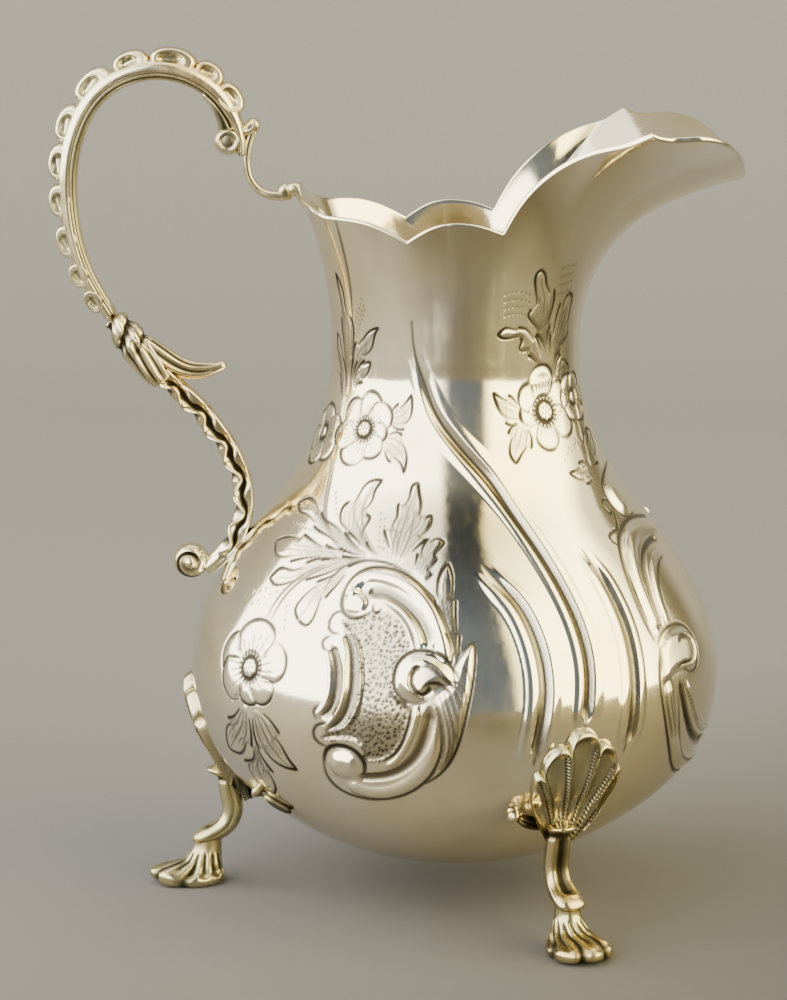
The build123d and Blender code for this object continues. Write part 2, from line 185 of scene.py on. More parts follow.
# ---- meshes -------------------------------------------------------------------------------------
def add_mesh(name, points, faces, material, replaces, attributes):
    """A piece from points in millimetres from the body's axis. Faces are lists or an array of quads."""
    points = np.asarray(points, float) * MM + np.array([AXIS_X * MM, 0, 0])
    mesh = bpy.data.meshes.new(name)
    if isinstance(faces, np.ndarray):
        mesh.vertices.add(len(points))
        mesh.vertices.foreach_set("co", points.astype(np.float32).ravel())
        count, size = faces.shape
        mesh.loops.add(count * size)
        mesh.loops.foreach_set("vertex_index", faces.astype(np.int32).ravel())
        mesh.polygons.add(count)
        mesh.polygons.foreach_set("loop_start", np.arange(0, count * size, size, dtype=np.int32))
        mesh.update(calc_edges=True)
    else:
        mesh.from_pydata([tuple(p) for p in points], [], [tuple(int(i) for i in f) for f in faces])
    mesh.validate()
    mesh.shade_smooth()
    for key, values in attributes.items():
        layer = mesh.attributes.new(key, "FLOAT", "POINT")
        layer.data.foreach_set("value", np.asarray(values, np.float32).ravel())
    mesh.materials.append(material)
    piece = bpy.data.objects.new(name, mesh)
    bpy.context.scene.collection.objects.link(piece)
    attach(piece, "root")
    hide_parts(*replaces)


def grid_faces(rows, columns, closed=True, start=0):
    """Quads between rows of points, with the last column joined to the first when closed."""
    wide = columns if closed else columns - 1
    r, c = np.meshgrid(np.arange(rows - 1), np.arange(wide), indexing="ij")
    here = start + r * columns + c
    beside = start + r * columns + (c + 1) % columns
    return np.stack([here, beside, beside + columns, here + columns], -1).reshape(-1, 4)


# ---- the body's chased surface ------------------------------------------------------------------
FINE_STEP = 0.29         # degrees between columns where the body is chased
PLAIN_STEP = 0.75        # and where it is plain
CHASED_FROM, CHASED_TO = -168.0, -8.0
FINE_ROW = 0.27          # millimetres between rows on the chased part
LIP_ROWS = 150
LIP_INNER_ROWS = 60
BOWL_ROWS_FROM = 21.0    # height below which the rows are wider apart
SMALLEST_RADIUS = 20.0   # millimetres, to turn a margin into degrees for a small stroke
USUAL_RADIUS = 24.0      # and for a large one


class Relief:
    """Half of the body as a grid, from the handle round the near side to the spout, with its relief.

    height is the relief in millimetres, dark the tarnish in the recesses and the painted shadows round the
    flowers' petal tips, and both are drawn on the near half and mirrored to the far one.
    """

    def __init__(self):
        edge = np.arange(-180, CHASED_FROM, PLAIN_STEP)
        fine = np.arange(CHASED_FROM, CHASED_TO, FINE_STEP)
        front = np.linspace(CHASED_TO, 0, int(-CHASED_TO / PLAIN_STEP) + 1)
        self.azimuth = np.r_[edge, fine, front]
        length = np.r_[0, np.cumsum(np.linalg.norm(np.diff(PROFILE, axis=0), axis=1))]
        start = np.interp(BOWL_ROWS_FROM, PROFILE[:, 1], length)
        coarse = np.linspace(0.02, start, 50)
        rows = np.r_[coarse[:-1], np.arange(start, length[-1], FINE_ROW)]
        columns = len(self.azimuth)
        bowl_rho = np.interp(rows, length, PROFILE[:, 0])
        bowl_z = np.interp(rows, length, PROFILE[:, 1])
        t = rim_reach(self.azimuth)[None, :] * np.linspace(0, 1, LIP_ROWS)[:, None]
        lip_rho, lip_z = lip_outline(np.broadcast_to(self.azimuth, t.shape), t)
        self.rho = np.vstack([np.repeat(bowl_rho[:, None], columns, 1), lip_rho])
        self.z = np.vstack([np.repeat(bowl_z[:, None], columns, 1), lip_z])
        step = np.hypot(np.diff(self.rho, axis=0), np.diff(self.z, axis=0))
        self.along = np.vstack([np.zeros(columns), np.cumsum(step, 0)])
        angle = np.radians(self.azimuth)[None, :]
        self.points = np.stack([self.rho * np.cos(angle), self.rho * np.sin(angle), self.z], -1)
        self.height = np.zeros_like(self.rho)
        self.dark = np.zeros_like(self.rho)
        self.matted = np.zeros_like(self.rho)

    def window(self, azimuths, heights, margin):
        """Slices of the grid round some azimuths and heights, with a margin in millimetres."""
        middle = int(np.argmin(np.abs(self.azimuth - np.mean(azimuths))))
        spread = margin / (SMALLEST_RADIUS if margin < 6 else USUAL_RADIUS) * DEGREES
        c0 = np.searchsorted(self.azimuth, min(azimuths) - spread)
        c1 = np.searchsorted(self.azimuth, max(azimuths) + spread)
        column = self.z[:, middle]
        r0 = np.searchsorted(column, min(heights) - margin - 0.5)
        r1 = np.searchsorted(column, max(heights) + margin + 0.5)
        return slice(max(r0, 0), min(r1, len(column))), slice(max(c0, 0), min(c1, len(self.azimuth)))

    def near_line(self, line, margin):
        """Window, distance to a line of (azimuth, z) and share along it, for a stroke."""
        line = np.asarray(line, float)
        cells = self.window(line[:, 0], line[:, 1], margin)
        here = self.points[cells]
        shape = here.shape[:2]
        here = here.reshape(-1, 3)
        spots = on_body(line[:, 0], line[:, 1])
        lengths = np.r_[0, np.cumsum(np.linalg.norm(np.diff(spots, axis=0), axis=1))]
        best = np.full(len(here), 1e9)
        share = np.zeros(len(here))
        for i in range(len(spots) - 1):
            run = spots[i + 1] - spots[i]
            size = run @ run
            if size < 1e-9:
                continue
            offset = here - spots[i]
            f = np.clip(offset @ run / size, 0, 1)
            away = offset - f[:, None] * run
            distance = np.einsum("ij,ij->i", away, away)
            closer = distance < best
            best[closer] = distance[closer]
            share[closer] = (lengths[i] + f[closer] * sqrt(size)) / lengths[-1]
        return cells, np.sqrt(best).reshape(shape), share.reshape(shape)

    def inside(self, outline, cells):
        """Which points of a window lie inside an outline of (azimuth, z)."""
        outline = np.asarray(outline, float)
        z = self.z[cells]
        a = np.broadcast_to(self.azimuth[cells[1]], z.shape)
        found = np.zeros(z.shape, bool)
        for (a0, z0), (a1, z1) in zip(outline, np.roll(outline, -1, axis=0)):
            crosses = (z0 > z) != (z1 > z)
            slope = (a1 - a0) / (z1 - z0) if z1 != z0 else 0
            found ^= crosses & (a < a0 + (z - z0) * slope)
        return found

    # Tools: each takes points of (azimuth, z) and works like a chasing tool drawn along them.
    def cut(self, points, width=0.5, depth=0.12, dark=0.9, taper=(0.25, 0.25), smooth=True):
        """An engraved line that swells from its ends."""
        line = flowing(points) if smooth else points
        cells, distance, share = self.near_line(line, width + 0.45)
        swell = np.minimum(1, np.minimum(
            0.35 + 0.65 * share / max(taper[0], 1e-3), 0.35 + 0.65 * (1 - share) / max(taper[1], 1e-3)
        ))
        half = 0.5 * width * swell
        k = np.clip(1.15 - (distance / half) ** 2, 0, 1)
        ink = np.exp(-(np.clip(distance - 0.55 * half, 0, None) / (0.11 + 0.12 * width)) ** 2)
        self.height[cells] -= 0.6 * depth * k * swell
        self.dark[cells] = np.maximum(self.dark[cells], dark * ink * np.clip(0.45 + 0.65 * swell, 0, 1))

    def roll(self, points, width, height, dark=0.0, taper=(0.15, 0.15)):
        """A rounded ridge with tarnish along its feet or, for a negative height, a tarnished hollow."""
        line = flowing(points)
        cells, distance, share = self.near_line(line, width * 0.5 + 1.0)
        ends = smoothstep(share / max(taper[0], 1e-3)) * smoothstep((1 - share) / max(taper[1], 1e-3))
        x = distance / (0.5 * width * (0.4 + 0.6 * ends))
        bump = np.clip(1 - x ** 2, 0, 1) ** 1.3
        self.height[cells] += height * bump * ends
        if dark:
            where = np.clip(1.1 - x ** 2, 0, 1) ** 0.8 if height < 0 else np.exp(-((x - 1.0) / 0.16) ** 2)
            self.dark[cells] = np.maximum(self.dark[cells], dark * where * ends)

    def pad(self, outline, height, edge, smooth=True):
        """An area raised or sunk with a soft edge."""
        line = list(outline) + [outline[0]]
        if smooth:
            line = flowing(line)
        cells, distance, _ = self.near_line(line, edge + 1.0)
        within = self.inside(line[:-1], cells)
        self.height[cells] += height * np.where(within, smoothstep(distance / edge), 0)
        return cells, within

    def dots(self, places, radius, depth, dark):
        """Punched dots."""
        for azimuth, z in places:
            cells = self.window([azimuth], [z], radius + 0.3)
            spot = on_body(azimuth, z)[0]
            distance = np.linalg.norm(self.points[cells] - spot, axis=-1)
            self.height[cells] -= 0.7 * depth * np.clip(1.1 - (distance / radius) ** 2, 0, 1)
            self.dark[cells] = np.maximum(self.dark[cells], dark * np.exp(-(distance / (radius * 0.95)) ** 2))

    def local(self, azimuth, z, reach):
        """Window round a spot and its points' places across and up the surface from it."""
        cells = self.window([azimuth], [z], reach)
        column = int(np.argmin(np.abs(self.azimuth - azimuth)))
        along = np.interp(z, self.z[:, column], self.along[:, column])
        rho = float(rho_at(azimuth, z)[0])
        across = np.radians(self.azimuth[cells[1]] - azimuth)[None, :] * rho
        return cells, np.broadcast_to(across, self.z[cells].shape), self.along[cells] - along

    def flower(self, azimuth, z, petals, eye, rise=0.35, hatch=7, seed=0):
        """A flower of domed petals (direction, length, width) round a pricked eye, each with a painted crescent
        shadow round its outer end.
        """
        reach = max(length for _, length, _ in petals) + 1.0
        cells, across, up = self.local(azimuth, z, reach)
        height = self.height[cells]
        dark = self.dark[cells]
        distance = np.hypot(across, up)
        for direction, length, width in petals:
            lean = radians(direction)
            p = across * sin(lean) + up * cos(lean)
            q = across * cos(lean) - up * sin(lean)
            middle = length * 0.62
            broad = width * 0.54
            f = 1 - ((p - middle) / (length - middle)) ** 2 - (q / broad) ** 2
            waist = broad * (0.42 + 0.58 * np.clip(p / middle, 0, 1))
            f = np.where(p < middle, np.where(p > 0, 1 - (q / waist) ** 2, -1.0), f)
            within = f > 0
            dome = np.clip(1 - np.exp(-np.clip(f, 0, 1) * 2.2), 0, 1)
            height = np.where(
                within, 0.62 * rise * dome * smoothstep((p - 0.7 * eye) / (0.5 * length)) - 0.05, height
            )
            dark = np.where(within, 0, dark)
            # Painted shadow: the petal's outline widens and darkens into a crescent round its outer end.
            tip = smoothstep((p - 0.6 * length) / (0.3 * length)) * smoothstep((q / broad + 0.9) / 0.8)
            line = np.exp(-(f * min(broad, length - middle) * 0.5 / (0.13 + 0.16 * tip)) ** 2) * (p > eye)
            outline_and_tip_shadow = 0.6 + 0.4 * tip
            height = height - 0.09 * line
            dark = np.maximum(dark, line * outline_and_tip_shadow)
            strokes = np.clip(2.6 * np.cos(np.arctan2(q, p + 0.9) * hatch * 5.2 + seed) - 1.5, 0, 1)
            stop = length * (0.62 + 0.10 * np.sin(q * 7.3 + seed + direction))
            short = within * smoothstep((stop - p) / 0.8) * (f > 0.04)
            dark = np.maximum(dark, 0.6 * strokes * short)
            height = height - 0.025 * strokes * short
        ring = np.clip(1.25 - ((distance - eye) / (eye * 0.42)) ** 2, 0, 1)
        ticks = np.where(distance < eye * 1.05, 1, 0.6 + 0.4 * np.cos(np.arctan2(up, across) * 19))
        height = height - 0.12 * ring
        dark = np.maximum(dark, ring * ticks)
        centre = distance < eye * 0.72
        height = np.where(centre, 0.2 * (1 - (distance / eye) ** 2), height)
        dark = np.where(centre, 0.0, dark)
        self.height[cells] = height
        self.dark[cells] = dark
        turn = np.arange(6) * 60 + 15
        k = DEGREES / float(rho_at(azimuth, z)[0])
        ring_dots = [
            (azimuth + eye * 0.42 * cos(radians(a)) * k, z + eye * 0.42 * sin(radians(a))) for a in turn
        ]
        self.dots(ring_dots + [(azimuth, z)], 0.22, 0.06, 0.8)

    def leaf(self, one_edge, other_edge, veins=3, width=0.5, lift=0.12, dark=0.9):
        """An engraved leaf between two edges that run from its stalk to its tip, toothed and finely hatched."""
        steps = 36
        place = np.linspace(0, 1, steps + 1)
        teeth = 2 if veins < 4 else 3
        saw = (place * teeth) % 1.0 - 0.45
        spread = (1 + 0.5 * saw * smoothstep(place / 0.25) * smoothstep((1 - place) / 0.08))[:, None]
        a = flowing(one_edge, steps + 1)
        b = flowing(other_edge, steps + 1)
        axis = 0.5 * (a + b)
        a, b = axis + (a - axis) * spread, axis + (b - axis) * spread
        self.pad(np.vstack([a, b[::-1]]), 0.6 * lift, 0.8, smooth=False)
        for edge in (a, b):
            for tooth in range(teeth):
                first = max(steps * tooth // teeth, 5)
                last = steps * (tooth + 1) // teeth + (tooth == teeth - 1)
                self.cut(edge[first:last], width, 0.12, min(dark * 1.25, 1), (0.9, 0.05), smooth=False)
        for index in range(veins):
            f = (index + 1) / (veins + 1)
            middle = a * (1 - f) + b * f
            stop = 34 if index == veins // 2 else 21 + 5 * (index % 2)
            self.cut(middle[3:stop], width * 0.45, 0.04, dark * 0.6, (0.3, 0.6), smooth=False)
        for index in range(3 * veins + 3):
            f = (index + 0.5) / (3 * veins + 3)
            middle = a * (1 - f) + b * f
            start = 4 + (index * 7) % 15
            self.cut(middle[start:start + 9], 0.15, 0.02, dark * 0.42, (0.2, 0.2), smooth=False)


def flowing(points, count=None):
    """A smooth line through the given points, a sample every millimetre or so."""
    points = np.asarray(points, float)
    scale = np.array([1.4, 1.0]) / 0.8
    length = np.linalg.norm(np.diff(points, axis=0) * 0.8, axis=1).sum()
    return smooth_curve(points / scale, count or int(np.clip(length / 0.9, 6, 90))) * scale


def shifted(line, across, up):
    """A line of (azimuth, z) moved round the body and up it."""
    return [(a + across, z + up) for a, z in line]


def smoothstep(x):
    x = np.clip(x, 0, 1)
    return x * x * (3 - 2 * x)


def chase_flutes(r):
    """Three long S-shaped flutes over the front leg: a soft roll with a deep crease beside it."""
    crease = [(-111, 105), (-109.5, 99), (-105.5, 94.5), (-100.5, 90), (-93, 85.8), (-85, 82), (-78, 78.3),
            (-72.5, 73.5), (-68.3, 69), (-65, 64), (-63, 59.5), (-61.8, 54), (-61.8, 49), (-62.6, 44),
            (-63.4, 39.5)]
    r.roll(crease, 2.6, -0.55, 0.35, taper=(0.3, 0.04))
    r.cut(crease, 0.7, 0.16, 0.9, (0.3, 0.05))
    r.roll([(a - 2.1 - 1.4 * (z > 75), z - 0.7) for a, z in crease], 2.4, 0.36, 0.0, taper=(0.35, 0.04))
    r.roll([(a + 2.1 + 1.2 * (z > 75), z + 0.6) for a, z in crease], 3.0, 0.2, 0.0, taper=(0.35, 0.04))
    left = [(-84, 65.8), (-80, 63), (-76.4, 60.3), (-73.6, 56), (-72.4, 51.5), (-72.2, 47), (-72.7, 43),
            (-73.7, 38.5), (-74.6, 33.6)]
    r.roll(left, 2.6, -0.5, 0.5, taper=(0.2, 0.1))
    r.cut(left, 0.6, 0.12, 0.7)
    r.roll(shifted(left, -2.7, -0.6), 3.0, 0.42, taper=(0.2, 0.1))
    r.roll(shifted(left, 2.3, 0.4), 2.4, 0.3, taper=(0.2, 0.1))
    right = [(-53.4, 67), (-51.3, 63.5), (-50, 59.5), (-49.5, 55), (-49.8, 50), (-50.5, 45), (-51.1, 40.5),
            (-51.9, 36.5), (-53, 34)]
    r.roll(right, 2.5, -0.5, 0.5, taper=(0.2, 0.1))
    r.cut(right, 0.6, 0.12, 0.7)
    r.roll(shifted(right, -2.5, 0), 2.8, 0.42, taper=(0.2, 0.1))
    r.roll(shifted(right, 2.1, 0), 2.2, 0.25, taper=(0.2, 0.1))
    r.cut([(-143.3, 104.5), (-142.6, 107), (-141.3, 110), (-140.6, 113), (-140, 117), (-139.4, 122.3)], 0.5,
            0.1, 0.5)


def chase_side_panel(r):
    """The scrolled panel on each side, between the handle and the front leg."""
    field = [(-118.5, 57), (-114, 57.5), (-111, 58.3), (-107, 58.6), (-103.5, 57.3), (-101.4, 54.8),
            (-100.9, 52.8), (-103.4, 51), (-104.3, 48.5), (-103.6, 45.8), (-100.5, 44.2), (-100.4, 41.5),
            (-101.8, 38), (-104, 35.5), (-107, 34), (-110, 34), (-110.6, 36), (-113.5, 37.4), (-117, 37),
            (-120, 37.2), (-118, 38.6), (-114.6, 39.5), (-112.6, 42.5), (-111.6, 46.5), (-112.1, 50.5),
            (-114, 54), (-117.5, 56)]
    cells, within = r.pad(field, -0.28, 0.8)
    r.matted[cells] = np.maximum(r.matted[cells], within)
    chance = np.random.default_rng(5)
    spots = []
    for a in np.arange(-120, -99, 0.92):
        for z in np.arange(33.5, 59, 0.74):
            spots.append((a + chance.uniform(-0.42, 0.42), z + chance.uniform(-0.32, 0.32)))
    area = r.window([-121, -99], [33, 60], 1)
    mask = r.inside(field, area)
    row_heights = r.z[area][:, 0]
    column_azimuths = r.azimuth[area[1]]
    kept = []
    for a, z in spots:
        i = min(np.searchsorted(row_heights, z), len(row_heights) - 1)
        j = min(np.searchsorted(column_azimuths, a), len(column_azimuths) - 1)
        if mask[i, j]:
            kept.append((a, z))
    for a, z in kept:
        near_volute = smoothstep((a + 108) / 5)
        radius = chance.uniform(0.16, 0.26)
        r.dots([(a, z)], radius, 0.08, min(1, chance.uniform(0.45, 0.9) + 0.25 * near_volute))
    # The upper C-scroll: a broad bright band that ends in a rounded volute, ribbed inside.
    r.roll([(-116.8, 59.8), (-117.3, 61.8), (-115, 63.5), (-110.5, 63.9), (-105, 63.2), (-100.5, 61.6),
            (-97, 59.2), (-94.7, 56), (-93.3, 52.5), (-93, 50.5)], 3.2, 0.75, 0.0, taper=(0.05, 0.1))
    r.pad([(-119, 60), (-118, 58.2), (-115, 57.6), (-112.6, 58.2), (-111.8, 59.6), (-113.5, 61),
            (-116.5, 61.8)], 0.5, 1.2)
    r.cut([(-110.9, 58.6), (-112.4, 57.9), (-115, 57.3), (-118, 58), (-119.4, 60), (-118.6, 62.6),
            (-115.6, 64.6), (-110, 65.2), (-105, 64.7), (-100.2, 62.9), (-96, 60), (-93.4, 56.8), (-92.1, 53.5),
            (-91.8, 51)], 0.75, 0.2, 0.75, (0.1, 0.2))
    r.roll([(-113.4, 61.2), (-109, 61.5), (-104.5, 60.4), (-100.8, 58.6), (-98, 56), (-96.6, 53.2)], 2.3, -0.42,
            0.5, taper=(0.08, 0.15))
    r.roll([(-112, 60.2), (-108, 60.1), (-104, 58.9), (-101, 56.8), (-98.9, 54), (-98.6, 52.9)], 1.0, 0.3, 0.35)
    r.roll([(-96, 53), (-96.7, 55.6), (-98.6, 58)], 1.0, 0.25, 0.3)
    r.cut([(-107.5, 59.6), (-104, 58.2), (-101.2, 55.8), (-99.8, 53)], 0.45, 0.1, 0.8)
    r.cut([(-111, 59.4), (-110.6, 58.6), (-109.6, 58.4), (-108.8, 59)], 0.4, 0.1, 0.8)
    # The lower C-scroll with its large domed volute.
    r.pad([(-119.4, 33), (-118, 35.1), (-115, 35.9), (-112, 35), (-110.6, 33), (-111.2, 31.2), (-114, 29.9),
            (-118, 30.4)], 0.95, 2.4)
    r.roll([(-115.5, 29.6), (-112, 28.4), (-107.5, 28.2), (-103, 29.3), (-99.4, 31.2), (-96.6, 34),
            (-95.3, 37.5), (-95.2, 41)], 3.0, 0.62, 0.0, taper=(0.08, 0.25))
    r.cut([(-119.6, 33.5), (-119.8, 31), (-118, 28.4), (-114.5, 27), (-110, 26.6), (-105, 27.2), (-100.4, 28.8),
            (-96.8, 31.4), (-94.6, 34.6), (-93.7, 38), (-94.3, 42), (-95.4, 44.6)], 0.55, 0.16, 0.7,
            (0.15, 0.15))
    r.cut([(-119.7, 33), (-118.4, 35.5), (-115, 36.3), (-111.6, 35.2), (-110.2, 33), (-110.8, 31.4)], 0.9, 0.22,
            0.9)
    r.roll([(-112.9, 30.7), (-109, 30.9), (-105, 31.6), (-101.6, 33.2), (-99, 35.6), (-97.3, 38.6), (-96.3, 42),
            (-96.1, 44.4)], 2.3, -0.55, 0.56, taper=(0.08, 0.12))
    r.roll([(-107, 33), (-104.2, 34), (-101.7, 36.4), (-100, 39.4), (-99.1, 42.2), (-98.8, 44.6)], 1.1, 0.34,
            0.4)
    r.cut([(-106, 34.3), (-103.3, 35.8), (-101.3, 39), (-100.3, 42), (-100, 44)], 0.5, 0.12, 0.85)
    # Two long curved slots with bright ribs on the left, and the small curls beyond them.
    slots = [
        ([(-116.4, 55.2), (-114.4, 53.2), (-113.1, 50), (-112.7, 46.6), (-113.5, 43), (-115.6, 40.2),
         (-118.4, 38.6)], 2.3),
        ([(-119, 52.8), (-117.4, 50.8), (-116.5, 48.2), (-116.4, 45.4), (-117.4, 42.6), (-119.6, 40.8)], 1.9),
    ]
    for arc, deep in slots:
        r.roll(arc, deep, -0.45, 0.5, taper=(0.08, 0.08))
        r.cut(shifted(arc, -0.25, 0), 0.5, 0.08, 0.75, (0.15, 0.15))
        r.roll(shifted(arc, -1.8, -0.1), 0.9, 0.3, 0.2)
        r.roll(shifted(arc, 1.8, -0.3), 0.9, 0.28, 0.0)
    for curl in ([(-118, 54.6), (-120.3, 54.9), (-121.1, 56.3), (-119.8, 57.9), (-117.8, 58)],
                 [(-120, 54.1), (-121.5, 53.2), (-121, 52.2), (-119.8, 51.8)],
                 [(-120.6, 42.7), (-121.5, 41.5), (-120.8, 40.4)],
                 [(-118, 39.9), (-120, 39.7), (-121.6, 38.2), (-121, 36.6), (-118.8, 35.9)]):
        r.cut(curl, 0.5, 0.12, 0.75)
    # The middle volute and the ribbed leaf that it runs into.
    r.pad([(-103.6, 48.6), (-102.6, 51), (-100, 52.5), (-96.4, 52.4), (-93, 51), (-90.6, 48.2), (-90.4, 46.8),
            (-93, 47.4), (-95.6, 46.6), (-98, 44.9), (-101.2, 45.2), (-103.2, 46.6)], 0.85, 1.7)
    r.cut([(-90.4, 48.8), (-92.8, 51.4), (-96, 52.8), (-100.2, 52.8), (-103, 51.2), (-104, 48.6),
            (-103.4, 46.3), (-101.2, 44.8), (-98.2, 44.5), (-96.8, 45)], 0.6, 0.2, 0.9)
    r.roll([(-97.8, 50.4), (-99.3, 50), (-100.2, 48.4), (-99.6, 46.7), (-97.8, 45.9), (-96.4, 46.6),
            (-96.7, 47.8)], 0.9, -0.4, 0.8, taper=(0.1, 0.1))
    r.cut([(-98, 50.4), (-96, 50.4), (-94, 49.2), (-91, 46.9)], 0.5, 0.14, 0.7)
    r.cut([(-97.5, 47.4), (-95.5, 48), (-93.5, 47.4), (-91.6, 45.8)], 0.5, 0.14, 0.8)
    r.pad([(-91.5, 49.5), (-88.6, 53.6), (-87.2, 54.1), (-86.9, 51), (-87.7, 47), (-88.8, 43), (-90, 39),
            (-92, 35), (-95, 32), (-98, 30.6), (-95.3, 34), (-94, 38), (-94.5, 42), (-95.5, 45), (-93, 47)],
            0.4, 1.2)
    r.cut([(-91.4, 50.2), (-89, 53), (-87.5, 54.2), (-87, 51), (-87.7, 47), (-88.7, 43), (-89.9, 39),
            (-91.8, 35), (-94.6, 32), (-98, 30.2)], 0.5, 0.14, 0.85)
    for line in ([(-95.2, 45.2), (-93.8, 41.5), (-93.2, 37.5), (-94.4, 33.4)],
                 [(-94.3, 45.8), (-92.7, 41.5), (-92.3, 37), (-94, 33)],
                 [(-93.4, 46.3), (-91.7, 42), (-91.5, 37.5), (-93.5, 33)],
                 [(-92.3, 46.7), (-90.6, 42), (-91, 37.5)], [(-91.3, 47.4), (-89.6, 43), (-90, 39.6)],
                 [(-90.2, 48.6), (-88.8, 45), (-89.2, 42)], [(-89.4, 50.5), (-88.2, 49), (-88.2, 46)]):
        r.cut(line, 0.36, 0.08, 0.55)
    r.leaf([(-90.4, 50.6), (-90.5, 56), (-91.4, 60), (-91.9, 64), (-93, 66.2)],
           [(-91.6, 50.8), (-92.6, 55), (-95.5, 60), (-95.2, 64), (-93.2, 66.2)], 4)


def chase_side_spray(r):
    """Acanthus leaves that spray up from the side panel, and the flower that hangs below them."""
    r.cut([(-125, 60.6), (-124.4, 62.6), (-122, 64.6), (-118.5, 65.7), (-113, 66.1), (-107.5, 65.6),
            (-103, 64.6)], 0.5, 0.12, 0.75)
    leaves = [
        ([(-115, 66.6), (-121, 69), (-126.5, 70.4), (-129.8, 72), (-129.8, 73.6), (-127.6, 74.4), (-126, 76.4),
         (-122, 78), (-118.4, 78.2)],
         [(-112, 66.8), (-117.6, 68.6), (-119.3, 70.4), (-119.4, 72.4), (-121.2, 73), (-120, 74.6),
          (-120.4, 76.2), (-118.4, 78.2)], 5),
        ([(-109, 66.6), (-111, 69.4), (-111.6, 71.6), (-109.6, 73), (-109.4, 74.6), (-107.4, 75.6),
         (-106.4, 77.6), (-104.5, 78.2)],
         [(-105, 66), (-102.6, 68.2), (-100.8, 69.6), (-98.5, 72), (-99.6, 73.3), (-101.6, 73), (-102.2, 74.6),
          (-103.6, 76.4), (-104.5, 78.2)], 5),
        ([(-103, 65), (-101.6, 66.4), (-100.8, 68), (-99, 69.4), (-96.4, 69.8), (-94.2, 69.3)],
         [(-98.6, 62.8), (-97.6, 64.8), (-96.4, 67), (-95.6, 68.2), (-94.2, 69.3)], 4),
        ([(-113, 66.4), (-120, 66.2), (-127, 65.8), (-133, 64.6), (-138, 63), (-143, 62.6), (-145, 61)],
         [(-110, 66.2), (-118, 65.6), (-126, 63.4), (-131, 62.4), (-136, 61.2), (-141, 60.4), (-145, 61)], 4),
        ([(-114, 66.8), (-122, 68.4), (-129, 70.4), (-136, 71.2), (-142, 73), (-148, 73.6), (-153, 72.6)],
         [(-113, 66.6), (-122, 67), (-130, 68.6), (-137, 69.8), (-144, 71.2), (-149, 71.6), (-153, 72.6)], 5),
        ([(-121, 67.2), (-129, 67.2), (-136, 67.8), (-142, 68), (-147, 67.4), (-151.5, 66.4)],
         [(-120, 66.4), (-128, 65.6), (-136, 65), (-142, 64.4), (-148, 64.8), (-151.5, 66.4)], 4),
        ([(-121, 65.6), (-124.6, 63), (-128, 61.6), (-130.6, 59.4), (-131.2, 57.2), (-129.6, 55.8)],
         [(-119.5, 65), (-122, 62), (-124.8, 59.4), (-125.4, 57), (-127, 55.4), (-129.6, 55.8)], 3),
    ]
    for one, other, veins in leaves:
        r.leaf(one, other, veins, 0.5, 0.12, 0.75)
    for line in ([(-114, 67), (-122, 71), (-126, 73.5), (-126.6, 75.6)],
                 [(-113, 67), (-119.6, 70.6), (-122.6, 74), (-121, 77)],
                 [(-107.6, 66.6), (-107.4, 70), (-106.4, 74), (-105, 77)],
                 [(-106.4, 66.4), (-104.6, 70), (-104, 74)], [(-108.6, 66.8), (-109, 70), (-108.6, 72.6)],
                 [(-116.6, 66.6), (-126, 67.6), (-135, 70.6), (-144, 72.6)]):
        r.cut(line, 0.34, 0.06, 0.5)
    stalk = [(-128.6, 68.4), (-132, 69.8), (-136, 71.4), (-139.6, 73.6), (-142.4, 76), (-144.8, 78.6),
            (-147, 80.6)]
    r.cut(stalk, 0.45, 0.1, 0.6)
    r.cut(shifted(stalk, 1.7, -0.4), 0.45, 0.1, 0.6)
    for shift in (0, 1.7):
        r.cut([(-139.4 + shift, 55.2), (-138.6 + shift, 58), (-136 + shift, 61), (-131.4 + shift, 63.4),
                (-126 + shift, 65)], 0.5, 0.1, 0.65)
    r.flower(-140.5, 46.7, [(-75, 9.0, 7.6), (-120, 8.2, 7.2), (165, 6.4, 5.6), (128, 7.6, 5.2), (72, 9.0, 6.6),
            (-4, 8.6, 9.4)], 2.2, 0.5, 5)
    r.leaf([(-141, 40.4), (-143.2, 39), (-145.2, 37.2), (-148.4, 35.8), (-150, 33.4), (-151, 30.6)],
           [(-139.8, 40), (-139.7, 35.5), (-142, 32.4), (-145.4, 30.8), (-151, 30.6)], 3, 0.55, 0.2, 0.9)
    r.leaf([(-137, 40.2), (-133.6, 39), (-131.4, 36.4), (-130.2, 34.4), (-129.4, 32.4), (-127.4, 30.4)],
           [(-138.4, 40), (-138.2, 35.4), (-136, 32.2), (-132.5, 30.8), (-127.4, 30.4)], 3, 0.55, 0.2, 0.9)
    r.leaf([(-139.6, 34.2), (-141.8, 30), (-144.8, 29), (-144.8, 26), (-140.4, 23.6)],
           [(-138.6, 34.2), (-137.2, 30.4), (-136.3, 27.4), (-137.8, 25.2), (-140.4, 23.6)], 3, 0.55, 0.2, 0.9)
    # Rows of pricked dots: start, step across and up, bend and number.
    for start, across, up, bend, number in (
        ((-148, 69.6), 1.6, -0.06, 0, 10), ((-147, 56.6), 1.8, 0.75, -0.02, 6), ((-148, 58.2), 1.8, 0.6, 0, 5),
        ((-134.4, 57.6), 0.5, -1.1, 0, 4), ((-115.6, 73.2), 0.5, -1.0, 0, 6), ((-113.6, 72.4), 0.5, -1.1, 0, 5),
        ((-136.5, 75.4), 1.2, -0.8, 0, 5),
    ):
        row = [(start[0] + across * k, start[1] + up * k + bend * k * k) for k in range(number)]
        r.dots(row, 0.24, 0.07, 0.6)


